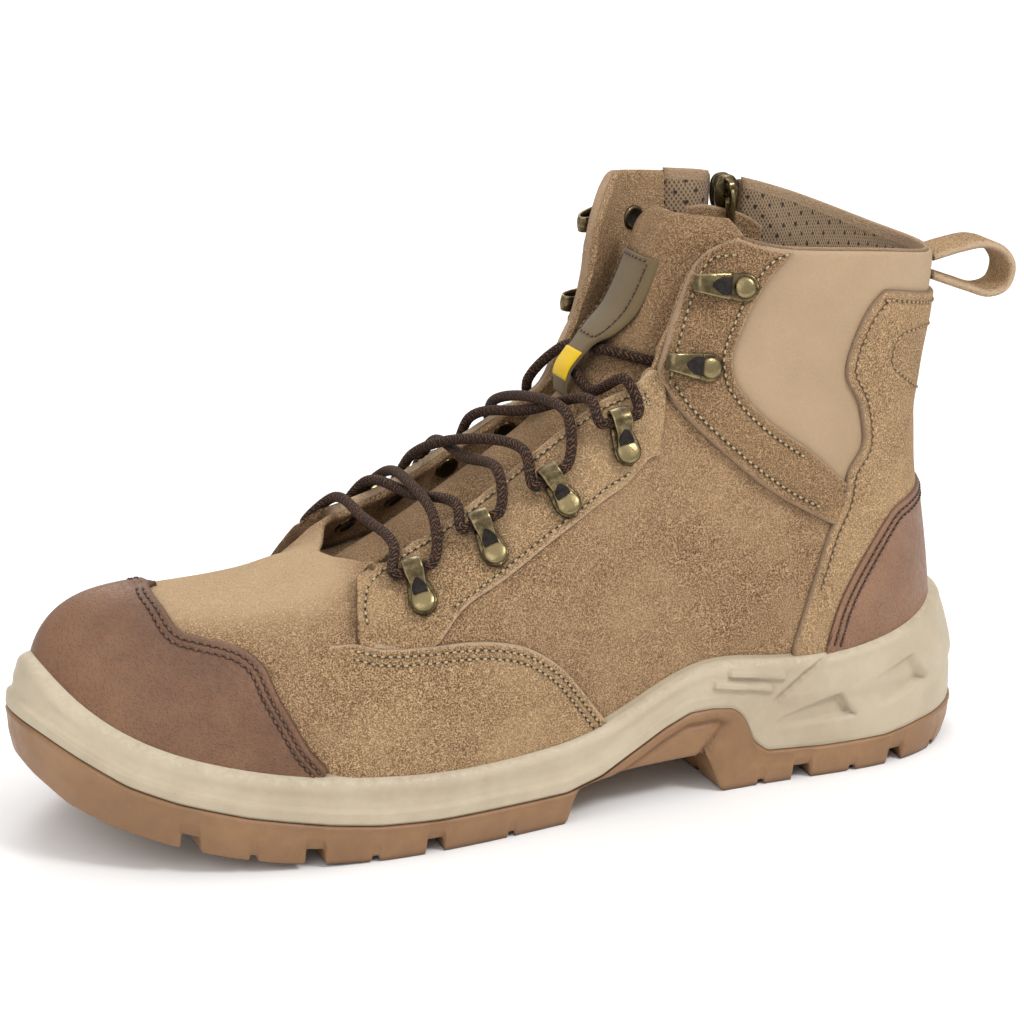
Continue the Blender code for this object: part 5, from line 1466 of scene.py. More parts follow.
def rungs(count, rows, row, turned):
    """Faces that close one ring of a grid round the shoe, by rungs from side to side."""
    ring = np.arange(count) * rows + row
    faces = []
    for i in range(count // 2):
        rung = (ring[i], ring[(i + 1) % count], ring[count - i - 1], ring[(count - i) % count])
        rung = tuple(dict.fromkeys(int(k) for k in rung))
        if len(rung) > 2:
            faces.append(rung if turned else rung[::-1])
    return faces


def ring_quads(grid):
    """Quads of a grid that runs round the shoe."""
    return [tuple(quad) for quad in grid_quads(*grid.shape[:2], True)]


def closed_rings(grid):
    """Faces of a grid that runs round the shoe and is closed at its first and last ring."""
    count, rows = grid.shape[:2]
    return ring_quads(grid) + rungs(count, rows, 0, True) + rungs(count, rows, rows - 1, False)


def midsole():
    ts = sole_columns()
    count = len(ts)
    edge, away = sole_edge(ts), outward(ts)
    joint = soft_line(JOINT_LINE, edge[:, 0], JOINT_SOFT)
    rim, rim_z = over_rim(ts), station(ts)[:, RIM_Z]
    high = skin(ts, rim, np.full(count, GAP + RIM_WIDTH))
    high[:, 2] = rim_z
    low = np.column_stack([edge, joint])
    tall = (rim_z - joint)[:, None]
    near_edges = (0.0, 0.01, 0.02, 0.035, 0.05, 0.965, 0.98, 0.99, 1.0)
    rows = np.unique(np.concatenate([np.linspace(0, 1, 46), near_edges]))
    share = np.repeat(rows[None], count, axis=0)
    profile = smooth_path(SOLE_WALL, 8)
    way_in = np.interp(share, profile[:, 0], profile[:, 1])
    wall = low[:, None] + (high - low)[:, None] * np.stack([way_in, way_in, share], -1)
    side = one_side(ts)[:, None]
    step_out = side_relief(share, tall, side) + heel_relief(wall[..., 0], wall[..., 2], share, side)
    wall = wall + away[:, None] * step_out[:, :, None]
    # Over the rim and down inside, against the upper
    sealed = np.stack([laid(ts, rim + 0.004, np.full(count, lift)) for lift in (0.9, -0.2, -1.2)], 1)
    sealed[:, 0, 2] = rim_z + 0.05
    under = np.stack([low - away * inset for inset in (PLATE_INSET, 0.6)], 1)
    under[:, 0, 2] = soft_line(PLATE_LINE, under[:, 0, 0], PLATE_SOFT)
    footbed = form(ts, np.zeros(count)) - away * 0.5
    footbed[:, 2] -= 0.3
    grid = np.concatenate([under, wall, sealed, footbed[:, None]], axis=1)
    mark = np.full(grid.shape[:2], EDGE_REACH)
    mark[:, under.shape[1]:under.shape[1] + len(rows)] = np.minimum((1 - share) * tall, EDGE_REACH)
    piece("midsole_foam", grid.reshape(-1, 3), closed_rings(grid), [MIDSOLE], "midsole",
          stands_for=("midsole",), marks={"edge": mark.ravel()})


# Tread: small cuts at the edge, channels along the sole and ribs under the arch
SIPES = (247.8, 212.0, 168.0, 80.5, 48.7, 15.7)
SIPE_WIDTH = 2.2
SIPE_DEPTH = 1.7
CHANNEL_DEPTH = 3.6
TREAD_ROWS = 61
# Cuts lean forward towards the sole's edge
CUT_LEAN = 2.7
ARCH = (95.0, 149.0)
ARCH_FADE = 4.0
ARCH_RIB = 2.6
ARCH_PANEL = (
    (92.2, 21.0), (95.5, 23.2), (106.5, 23.2), (114.0, 20.0), (134.0, 9.6), (101.5, 9.0), (94.5, 18.0),
)
# Side of the outsole from the ground up: share of height and step out
TREAD_SIDE = ((0.0, -1.3), (0.05, -0.9), (0.45, 0.3), (0.86, 0.7), (0.90, 0.95), (0.95, 0.95), (1.0, 0.1))
GROUND_INSET = 1.2


def cut_depth(s, across):
    """Depth of the grooves, sipes and channels at a place of the tread; across is -1 to 1."""
    far = np.abs(across)
    lean = CUT_LEAN * (far - 1)
    depth = np.zeros(np.broadcast(s, across).shape)
    for at, width in GROOVES:
        wall = smooth_step((width / 2 + 0.55 - np.abs(s - at - lean)) / 0.9)
        depth = np.maximum(depth, GROOVE_DEPTH * wall)
    for at in SIPES:
        wall = smooth_step((SIPE_WIDTH / 2 + 0.4 - np.abs(s - at - lean)) / 0.7)
        depth = np.maximum(depth, SIPE_DEPTH * wall * smooth_step((far - 0.45) / 0.06))
    middle = smooth_step((0.16 - far) / 0.05)
    zigzag = smooth_step((0.055 - np.abs(far - 0.56 - 0.05 * np.sin(s / 6.0))) / 0.03)
    return np.maximum(depth, CHANNEL_DEPTH * np.maximum(middle, zigzag))


def arch_panel(s, z):
    """Depth of the sunk panel in the arch's side, deepest along its border."""
    depth = inside(ARCH_PANEL, s, z)
    return 0.5 * smooth_step(depth / 0.8) + 1.4 * bell(depth - 1.2, 1.0)


def outsole_columns():
    """Sections round the outsole, crowded at its cuts and at the rear end of the arch's panel."""
    dense = np.linspace(0, TOE, 6000)
    reach = sole_edge(dense)[:, 0]
    crowded = [(row[0], 4) for row in GROOVES] + [(at, 4) for at in SIPES] + [(ARCH_PANEL[0][0], 5)]
    fine = [np.linspace(0, TOE, 420)] + [dense[np.abs(reach - at) < 5.0][::step] for at, step in crowded]
    half = np.unique(np.round(np.concatenate(fine), 4))
    half = half[np.concatenate([[True], np.diff(half) > 0.004])]
    half[-1] = TOE
    return np.concatenate([half, LOOP - half[-2:0:-1]])


def outsole():
    ts = outsole_columns()
    count = len(ts)
    edge, away = sole_edge(ts), outward(ts)[:, :2]
    joint = soft_line(JOINT_LINE, edge[:, 0], JOINT_SOFT)
    low_edge = edge - away * GROUND_INSET
    low_s = low_edge[:, 0]
    arch = smooth_step((low_s - ARCH[0]) / ARCH_FADE) * smooth_step((ARCH[1] - low_s) / ARCH_FADE)
    ground = soft_line(GROUND_LINE, low_s, GROUND_SOFT)
    bottom_z = ground + cut_depth(low_s, np.ones(count)) * (1 - arch)
    shares = np.concatenate([[0.0, 0.03], np.linspace(0.08, 0.88, 17), [0.93, 0.965, 0.985, 1.0]])
    z = bottom_z[:, None] + (joint - 0.1 - bottom_z)[:, None] * shares[None]
    step_out = on_line(TREAD_SIDE, shares)[None] - arch_panel(np.repeat(edge[:, :1], len(shares), axis=1), z)
    side = np.dstack([edge[:, None] + away[:, None] * step_out[:, :, None], z])
    inner_ring = edge - away * PLATE_INSET
    top = np.stack([
        np.column_stack([edge - away * 1.5, joint - 0.2]),
        np.column_stack([inner_ring, soft_line(PLATE_LINE, inner_ring[:, 0], PLATE_SOFT) - 0.3]),
    ], 1)
    grid = np.concatenate([side, top], axis=1)
    rows = grid.shape[1]
    bottom, bottom_faces = tread(count, low_edge, arch, rows)
    faces = ring_quads(grid) + rungs(count, rows, rows - 1, False) + bottom_faces
    points = np.vstack([grid.reshape(-1, 3), bottom])
    piece("outsole_rubber", points, faces, [GUM], "rubber", stands_for=("outsole",))


def tread(count, low_edge, arch, rows):
    """Underside of the outsole: rungs across the shoe from edge to edge of the side's lowest ring."""
    across = np.linspace(1, -1, TREAD_ROWS)
    share = (1 - across[1:-1]) / 2
    edge_in = smooth_step((1 - np.abs(across[1:-1])) / 0.02)
    points, index = [], {}
    for i in range(count // 2 + 1):
        twin = (count - i) % count
        index[(i, 0)] = i * rows
        index[(i, TREAD_ROWS - 1)] = twin * rows
        if i == twin:
            index.update({(i, k): i * rows for k in range(TREAD_ROWS)})
            continue
        spots = low_edge[i] + (low_edge[twin] - low_edge[i]) * share[:, None]
        flat = arch[i] + (arch[twin] - arch[i]) * share
        ribs = 1.2 + 0.6 * (1 + np.sin(spots[:, 0] / ARCH_RIB))
        cuts = cut_depth(spots[:, 0], across[1:-1]) * (1 - flat) + flat * edge_in * ribs
        z = soft_line(GROUND_LINE, spots[:, 0], GROUND_SOFT) + cuts
        for k in range(1, TREAD_ROWS - 1):
            index[(i, k)] = count * rows + len(points)
            points.append((*spots[k - 1], z[k - 1]))
    faces = []
    for i in range(count // 2):
        for k in range(TREAD_ROWS - 1):
            quad = (index[(i, k)], index[(i + 1, k)], index[(i + 1, k + 1)], index[(i, k + 1)])
            quad = tuple(dict.fromkeys(quad))
            if len(quad) > 2:
                faces.append(quad)
    return np.array(points), faces


# Footbed: insets of its rings from the wall and how high each is cupped
INSOLE_CUP = ((0.0, 2.6), (0.3, 3.1), (1.0, 3.2), (2.4, 2.6), (5.0, 1.3), (9.0, 0.4))
INSOLE_BASE = np.array([0.0, 0.0, 0.1])


def insole():
    """Footbed cut to the shoe's inside, its edge cupped."""
    ts = np.linspace(0, LOOP, 240, endpoint=False)
    away = outward(ts)
    base = form(ts, np.zeros(len(ts))) - away * (WALL + 1.0) + INSOLE_BASE
    cupped = [base - away * inset + np.array([0, 0, cup]) for inset, cup in INSOLE_CUP]
    grid = np.stack([base] + cupped, axis=1)
    points = grid.reshape(-1, 3)
    piece("insole_cloth", points, closed_rings(grid), [INSOLE_CLOTH], "cloth", stands_for=("insole",),
          uv=points[:, :2])


# Tongue
TONGUE_TABLE = {name: np.array([row[i] for row in TONGUE], float) for i, name in enumerate(TONGUE_COLUMNS)}
TONGUE_SOFT = 0.45
# Rows where its top narrows, its padding starts and its rolled edge starts
TONGUE_NARROWS = 6.9
PADDED_FROM = 4.2
ROLLED_FROM = 4.6
TONGUE_PUFF = 0.9
TONGUE_ROLL = 0.35
# Folds across it: row, slant, depth, width
TONGUE_FOLDS = ((4.55, 0.25, 0.5, 0.14), (5.3, -0.2, 0.4, 0.12))
TONGUE_TOP = 7.4
TOP_DROPS = (0.5, 0.4, 0.3, 0.2, 0.12, 0.06, 0.02, 0.0)
TONGUE_MAP = (24, 20)


def tongue_column(name, row):
    """One column of the tongue's table, read softly."""
    line = np.stack([np.arange(len(TONGUE)), TONGUE_TABLE[name]], -1)
    ends = np.vstack([2 * line[0] - line[1], line, 2 * line[-1] - line[-2]])
    soft = soft_line(ends, row, TONGUE_SOFT)
    close = np.clip(np.minimum(row, len(TONGUE) - 1 - np.asarray(row, float)) / TONGUE_SOFT, 0, 1)
    return soft * close + on_line(line, row) * (1 - close)


def tongue_face(row, across):
    """Front face of the tongue, the way into it and its thickness.

    row counts its sections, across runs from -1 on the inner side to 1 on the outer side.
    """
    row, across = np.broadcast_arrays(np.asarray(row, float), np.asarray(across, float))
    read = {name: tongue_column(name, row) for name in TONGUE_COLUMNS}
    slope = {name: tongue_column(name, row + 0.4) - tongue_column(name, row - 0.4) for name in ("s", "z")}
    none = np.zeros(row.shape)
    outer_side = across > 0
    half = np.where(outer_side, read["outer"], read["inner"])
    half = half * np.sqrt(1 - 0.55 * np.clip((row - TONGUE_NARROWS) / 1.1, 0, 1) ** 2)
    bend = np.abs(across) ** 2.2
    back = unit(np.stack([slope["s"], none, slope["z"]], -1))
    inward = np.stack([-back[..., 2], none, back[..., 0]], -1)
    edge_s = np.where(outer_side, read["edge_s_outer"], read["edge_s_inner"])
    point = np.stack([
        read["s"] + (edge_s - read["s"]) * bend, half * across,
        read["z"] + (read["edge_z"] - read["z"]) * bend,
    ], -1)
    way = inward * (1 - 0.35 * np.abs(across))[..., None] + np.stack([none, -0.45 * across, none], -1)
    return point, unit(way), read["thick"]


def off_tongue(row, across, height):
    """A point above the tongue."""
    point, way, _ = tongue_face(row, across)
    return point - way * np.asarray(height, float)[..., None]


def tongue():
    rows = np.concatenate([np.linspace(0, TONGUE_TOP, 110), len(TONGUE) - 1 - np.array(TOP_DROPS)])
    row, across = np.meshgrid(rows, spread(70.0, 1.2, True, True, 3.0) * 2 - 1)
    face, way, thick = tongue_face(row, across)
    away = nearest(face, np.vstack([face[0], face[-1], face[:, -1]]))
    curve = rounded(away / (0.7 * thick))
    half = 0.5 * thick * (1 - 0.45 * np.abs(across) ** 3)
    puff = TONGUE_PUFF * smooth_step(away / 12.0) * smooth_step(row - PADDED_FROM)
    roll = -TONGUE_ROLL * bell(away - 4.0, 1.2) * smooth_step((row - ROLLED_FROM) / 0.6)
    folds = sum(depth * bell(row - at - slant * across, width) for at, slant, depth, width in TONGUE_FOLDS)
    swell = puff + roll - folds * smooth_step(away / 6.0)
    front = face + way * (half - half * curve - swell * curve)[..., None]
    rear = face + way * (half + half * curve)[..., None]
    quads = [tuple(quad[::-1]) for quad in grid_quads(*row.shape)]
    points, faces = closed_sheet(front.reshape(-1, 3), rear.reshape(-1, 3), quads)
    which = np.zeros(len(faces), np.int32)
    which[len(quads):2 * len(quads)] = 1
    made = piece("tongue_pad", points, faces, [SUEDE_TOP, LINING], "suede", stands_for=("tongue",),
                 which=which, marks={"edge": edge_mark(away + 0.6)},
                 uv=sheet_map(across * TONGUE_MAP[0], row * TONGUE_MAP[1]))


# Gussets that join the tongue to the lining: row of the tongue, then t and v on the shoe's wall
GUSSET = (
    (0.0, 9.55, 0.59), (1.0, 8.75, 0.49), (2.0, 7.75, 0.46), (3.0, 6.75, 0.42), (4.0, 5.70, 0.36),
    (4.8, 4.95, 0.36),
)
GUSSET_THICKNESS = 1.1
GUSSET_SAG = 4.5


def gussets():
    found = []
    row, t, v = smooth_path(GUSSET, 10).T
    for side in (1, -1):
        wall = skin(t if side > 0 else LOOP - t, v, np.full(len(t), -WALL - 0.2))
        edge = off_tongue(row, np.full(len(t), 0.86 * side), np.full(len(t), -1.6))
        share = np.linspace(0, 1, 16)
        grid = wall[:, None] + (edge - wall)[:, None] * share[None, :, None]
        grid[:, :, 2] += (1.2 * np.sin(2 * np.pi * share) - GUSSET_SAG * np.sin(np.pi * share))[None]
        low = grid - np.array([0.0, 0.0, GUSSET_THICKNESS])
        quads = [tuple(quad if side < 0 else quad[::-1]) for quad in grid_quads(*grid.shape[:2])]
        found.append(closed_sheet(grid.reshape(-1, 3), low.reshape(-1, 3), quads))
    piece("tongue_gussets", *joined(found), [SHELL_SUEDE], "suede")


# Keeper strip: the tongue's half-width that its table goes by, how far aside its sewn end is, and its steps
LABEL_SCALE = 24.0
LABEL_ASIDE = -0.10
LABEL_STEPS = 90
LABEL_LENGTH = 70
LABEL_THICKNESS = 1.3
LABEL_SEAM = 0.76
# Lift of its stitches, and of points above them that give the way up
LABEL_STITCH_LIFTS = (LABEL_THICKNESS + 0.06, 3.0)
# Steps that hold the bright patch, and those where the strip's sewn end starts and stops
PATCH_STEPS = slice(12, 37)
SEWN = (48, -3)
PATCH_BASE = 1.2
PATCH_TOP = 1.9


def label_grid(parts, lift):
    """Points over the keeper strip at parts across it, from -1 to 1, and how far across each is."""
    table = np.array(LABEL)
    places = np.linspace(0, len(LABEL) - 1, LABEL_STEPS)
    read = [soft_line(np.stack([np.arange(len(LABEL)), table[:, k]], -1), places, 0.35) for k in range(3)]
    row, part = np.meshgrid(read[0], parts)
    half = np.interp(row, read[0], read[1])
    height = np.interp(row, read[0], read[2])
    aside = LABEL_ASIDE * smooth_step((row - 4.6) / 0.8)
    return off_tongue(row, part * half / LABEL_SCALE + aside, height + lift), part * half


def keeper_seams():
    """Stitches along both sides and both ends of the keeper strip's sewn end."""
    found = []
    for side in (-LABEL_SEAM, LABEL_SEAM):
        path, above = [label_grid(np.array([side]), lift)[0][0, slice(*SEWN)] for lift in LABEL_STITCH_LIFTS]
        found += stitch_path(path, unit(above - path))
    line = np.linspace(-0.7, 0.7, 12)
    for step in SEWN[::-1]:
        path, above = [label_grid(line, lift)[0][:, step] for lift in LABEL_STITCH_LIFTS]
        found += stitch_path(path, unit(above - path))
    stitches("keeper_stitches", found, DARK_THREAD)


def tongue_label():
    near_edge = np.array([0.88, 0.95, 0.985, 1])
    parts = np.concatenate([-near_edge[::-1], np.linspace(-0.78, 0.78, 15), near_edge])
    base, across = label_grid(parts, 0.0)
    flat = np.abs(parts)[:, None] * np.ones(across.shape)
    curve = np.sqrt(1 - np.clip((flat - 0.86) / 0.14, 0, 1) ** 2)
    top, _ = label_grid(parts, LABEL_THICKNESS * (0.15 + 0.85 * curve))
    quads = [tuple(quad[::-1]) for quad in grid_quads(*across.shape)]
    points, faces = closed_sheet(top.reshape(-1, 3), base.reshape(-1, 3), quads)
    length = np.repeat(np.linspace(0, LABEL_LENGTH, LABEL_STEPS)[None], len(parts), axis=0)
    piece("keeper_label", points, faces, [LABEL_CLOTH], "label", stands_for=("tongue_label",),
          uv=sheet_map(across, length))
    keeper_seams()


def keeper_patch():
    """Bright patch round the keeper strip's narrow part, thin at its rim."""
    parts = np.linspace(-1.02, 1.02, 13)
    low, across = [grid[:, PATCH_STEPS] for grid in label_grid(parts, PATCH_BASE)]
    high = label_grid(parts, PATCH_TOP)[0][:, PATCH_STEPS]
    rim = np.ones(across.shape)
    rim[[0, -1]] = 0.2
    rim[:, [0, -1]] = 0.2
    raised = low + (high - low) * rim[..., None]
    quads = [tuple(quad[::-1]) for quad in grid_quads(*across.shape)]
    points, faces = closed_sheet(raised.reshape(-1, 3), low.reshape(-1, 3), quads)
    length = np.tile(np.arange(across.shape[1]), (across.shape[0], 1)) * 0.8
    piece("keeper_patch", points, faces, [YELLOW], "label", uv=sheet_map(across, length))


# Lace hardware
FITTING_BASE = 1.2 + OVERLAY
EYE_RADIUS = 3.6
EYE_HOLE = 2.6
LOOP_HALF = 2.9
FITTING_SUNK = 1.3
MOUTH_RISE = 0.62
MOUTH_THICKNESS = 0.8
MOUTH_STEPS = np.concatenate([[0, 0.02, 0.06, 0.13, 0.22], np.linspace(0.34, 1, 8)])
# Room beside and behind a fitting's rivet in which the surface under its plate counts
PLATE_ASIDE = 4.2
PLATE_BEHIND = -4.5
# Half of a strip's outline, as shares of its half-width and half-thickness: upper rim and lower rim
STRIP_RIM = [(-1, 0.25), (-0.97, 0.62), (-0.88, 0.90), (-0.70, 1.0)]
STRIP_FOOT = [(1, -0.5), (0.94, -0.88), (0.8, -1.0)]


def frame_at(rivet, tip):
    """Axes of a fitting: from its rivet to its tip, across, and off the surface it rests on."""
    start = form(*rivet)
    along = form(*tip) - start
    length = np.linalg.norm(along)
    along = along / length
    normal = form_normal(*rivet) + form_normal(*tip)
    normal = unit(normal - along * normal.dot(along))
    across = np.cross(normal, along)
    way_t, way_v = tip[0] - rivet[0], tip[1] - rivet[1]
    highest = 0.0
    for step in np.linspace(-0.35, 1.1, 12):
        for aside in np.linspace(-0.12, 0.12, 5):
            t, v = rivet[0] + way_t * step + aside, rivet[1] + way_v * step
            under = skin(t, v, np.array(FITTING_BASE)) - start
            if abs(under.dot(across)) < PLATE_ASIDE and PLATE_BEHIND < under.dot(along) < length:
                highest = max(highest, under.dot(normal))
    return start + normal * (highest + GAP), along, across, normal, length


def fittings(rows):
    """Every fitting of a table on both sides: its side, number and axes."""
    for k, row in enumerate(rows, 1):
        ends = [row[:2], row[2:4]]
        yield "outer", k, frame_at(*ends)
        yield "inner", k, frame_at(*mirrored(ends))


def to_frame(points, fitting):
    """Points along, across and off a fitting's axes."""
    start, along, across, normal = fitting[:4]
    points = np.asarray(points, float)
    return start + points[..., :1] * along + points[..., 1:2] * across + points[..., 2:3] * normal


def swept_strip(path, halves, thick, low=None, crown=0.0):
    """A bent metal strip: its middle line in the along and normal plane, half-widths and thickness.

    low is how far its underside goes down at each step, crown how far its face is domed.
    """
    path = np.asarray(path, float)
    tangent = unit(np.gradient(path, axis=0))
    up = np.stack([-tangent[:, 1], tangent[:, 0]], -1)
    dome = [(-0.4, 1 + 0.7 * crown), (0.0, 1 + crown), (0.4, 1 + 0.7 * crown)]
    ring = STRIP_RIM + dome + [(-wide, tall) for wide, tall in STRIP_RIM[::-1]]
    ring += STRIP_FOOT + [(wide, -tall) for wide, tall in dome[::-1]]
    ring += [(-wide, tall) for wide, tall in STRIP_FOOT[::-1]]
    points = []
    for k in range(len(path)):
        for wide, tall in ring:
            lift = tall * thick / 2
            if low is not None and low[k] > 0 and tall < -0.7:
                lift = -thick / 2 - low[k]
            a, n = path[k] + up[k] * lift
            points.append((a, wide * halves[k], n))
    # The strip's rounded rims are marked bright: rubbed wear and painted highlight.
    bright = np.tile([1.0 if 0.5 < abs(tall) < 0.95 else 0.35 for _, tall in ring], len(path))
    return np.array(points), ring_faces(len(path), len(ring)), bright


def turned_profile(profile, count=28):
    """A round solid from radius and height pairs, with flat ends."""
    angle = 2 * np.pi * np.arange(count) / count
    points = [(r * math.cos(a), r * math.sin(a), z) for r, z in profile for a in angle]
    # Brighter towards the top: rubbed wear and painted highlight.
    bright = np.repeat([min(1.0, max(0.0, z / profile[-1][1])) for _, z in profile], count)
    return np.array(points), ring_faces(len(profile), count), bright


RIVET = (
    (3.6, -0.6), (3.65, 0.2), (3.6, 0.62), (3.42, 0.95), (3.05, 1.2), (2.3, 1.4), (1.3, 1.5), (0.4, 1.53),
)
LOOP_RIVET_AT = -0.2
HOOK_RIVET = 0.9
# How bright the edges of a fitting's plate are, next to those of its strap, in the paler tint of rubbed wear
# and painted highlight
PLATE_BRIGHT = 0.2
LOOP_PLATE = 4.1
LOOP_LONGEST = 12.5
# Shares of a loop's front and its half-widths there
LOOP_FRONT = ((0.0, 0.35, 0.7, 1.0), (LOOP_HALF, 2.35, 2.6, 3.2))
HOOK_PLATE = 4.3
HOOK_LONGEST = 15.0
# Middle line of a hook: along its plate from the rivet, and curled over, along from its tip
HOOK_BACK = [(-4.55, 0.5), (-4.2, 0.5), (-2.0, 0.5), (2.0, 0.6)]
HOOK_TIP = (
    (-6.5, 0.8), (-2.6, 1.0), (-0.6, 2.2), (-0.1, 3.7), (-1.2, 4.9), (-3.4, 5.1), (-6.0, 4.6), (-8.2, 3.8),
    (-10.6, 2.9),
)
# Half-widths of a hook's strap where it curls over and where it opens over the rivet
HOOK_CURL = 2.5
HOOK_MOUTH = 3.9


def fitting_piece(name, fitting, strip, window, head_size=1.0, head_at=0.0):
    """One brass fitting: a strip, a rivet's head and a dark window of painted shade, each as points, faces,
    brightness.
    """
    head, head_faces, head_bright = turned_profile([(head_size * r, z) for r, z in RIVET])
    parts = [strip, (head + np.array([head_at, 0, STRIP]), head_faces, head_bright), window]
    points, faces = joined([(to_frame(some, fitting), some_faces) for some, some_faces, _ in parts])
    which = [int(part is window) for part in parts for _ in part[1]]
    piece(name + "_brass", points, faces, [BRASS, SHADE_FILL], "metal", stands_for=(name,), which=which,
          marks={"edge": np.concatenate([part[2] for part in parts])})


def mouth(path, half):
    """A dark sheet of painted shade in the D-shaped opening over a strap, round towards the tip and wide at
    the rivet.
    """
    path = along_path(np.asarray(path, float), MOUTH_STEPS)
    tangent = unit(np.gradient(path, axis=0))
    raised = path + np.stack([tangent[:, 1], -tangent[:, 0]], -1) * MOUTH_RISE
    share = np.linspace(0, 1, len(path)) ** 2
    return swept_strip(raised, half * rounded(np.maximum(share / 0.55, 0.02)), MOUTH_THICKNESS)


def plate_half(a, round_radius, neck, length):
    """Half-width of a fitting's plate along it: round behind the rivet, then narrowing to the tip."""
    if a < 0:
        return math.sqrt(max(round_radius**2 - a**2, 0.16))
    return round_radius + (neck - round_radius) * float(smooth_step(a / (0.75 * length)))


def lace_loops():
    """Eight loops; returns each eye's middle and the way through it."""
    eyes = {}
    turn = np.radians(np.linspace(-97, 112, 22))
    middle = (EYE_RADIUS + EYE_HOLE) / 2
    for side, k, fitting in fittings(LACE_LOOPS):
        start, along, across, normal, length = fitting
        length = min(length, LOOP_LONGEST)
        centre = (length - EYE_RADIUS + 0.6, EYE_RADIUS)
        places = np.concatenate([[-4.45, -4.3, -3.9], np.linspace(-3.2, centre[0] - 1.2, 12)])
        back = [(a, STRIP / 2) for a in places]
        eye = [(centre[0] + middle * math.cos(a), centre[1] + middle * math.sin(a)) for a in turn]
        front = smooth_path([eye[-1], (centre[0] - 3.4, 4.9), (3.9, 2.5), (2.4, 1.9), (0.4, 1.7)], 7)[1:]
        path = back + eye + [tuple(spot) for spot in front]
        halves = [plate_half(a, LOOP_PLATE, LOOP_HALF, length) for a in places] + [LOOP_HALF] * len(eye)
        halves += list(np.interp(np.linspace(0, 1, len(front)), *LOOP_FRONT))
        low = [FITTING_SUNK] * len(back) + [0.0] * (len(eye) + len(front))
        strip = swept_strip(path, halves, STRIP, low, 0.45)
        strip[2][:len(strip[2]) * len(back) // len(path)] *= PLATE_BRIGHT
        fitting_piece(f"lace_loop_{side}_{k}", fitting, strip, mouth(front[5:22], 2.3), head_at=LOOP_RIVET_AT)
        eyes[(side, k)] = (start + along * centre[0] + normal * centre[1], across)
    return eyes


def lace_hooks():
    for side, k, fitting in fittings(LACE_HOOKS):
        length = min(fitting[4], HOOK_LONGEST)
        curl = smooth_path(HOOK_BACK + [(length + a, n) for a, n in HOOK_TIP], 5)
        turn = int(np.argmax([a for a, _ in curl]))
        widening = smooth_step(np.linspace(0, 1, len(curl) - turn))
        halves = [plate_half(a, HOOK_PLATE, HOOK_CURL, length) for a, _ in curl[:turn]]
        halves += list(HOOK_CURL + (HOOK_MOUTH - HOOK_CURL) * widening)
        fade = [max(0.0, 1 - max(0.0, a - length + 7.0) / 2) for a, _ in curl]
        low = [FITTING_SUNK * share if n < 1.2 else 0.0 for share, (_, n) in zip(fade, curl)]
        strip = swept_strip(curl, halves, 1.0, low, 0.6)
        strip[2][:len(strip[2]) // 2] *= PLATE_BRIGHT
        fitting_piece(f"lace_hook_{side}_{k}", fitting, strip, mouth(curl[-13:], 2.75), head_size=HOOK_RIVET)


# Eyelet backs on the lining: a brass ring round a hole filled with painted shade, which starts at the fourth
# ring of its profile
BACK_PROFILE = ((3.9, -0.4), (3.9, 0.3), (3.5, 0.7), (2.7, 0.75), (2.35, 0.4), (0.4, 0.36))
BACK_SIDES = 24
BACK_HOLE = 3
# How far below the throat's edge the loops' backs show, as a share of the wall
BACK_DROP = 0.085


def eyelet_backs():
    spots = [(t, row[1]) for row in LACE_HOOKS for t in (row[0], LOOP - row[0])]
    spots += [(t, edge_share(t) - BACK_DROP) for row in LACE_LOOPS for t in (row[2], LOOP - row[2])]
    points, faces, _ = turned_profile(BACK_PROFILE, BACK_SIDES)
    dark = [int(k >= BACK_HOLE) for k in range(len(BACK_PROFILE) - 1) for _ in range(BACK_SIDES)] + [0, 1]
    found = []
    for t, v in spots:
        normal = -form_normal(t, v)
        centre = skin(t, v, np.array(-WALL - 0.1))
        along = unit(np.cross(normal, (0.0, 1.0, 0.2)))
        found.append((to_frame(points, (centre, along, np.cross(normal, along), normal)), faces))
    points, faces = joined(found)
    piece("eyelet_backs", points, faces, [BRASS, SHADE_FILL], "metal", which=dark * len(spots),
          marks={"edge": np.zeros(len(points))})


# Lace
BRAID_PITCH = 3.1
BRAID_SIDES = 24
LACE_STEP = 0.42
LACE_SHOWN = 1.62


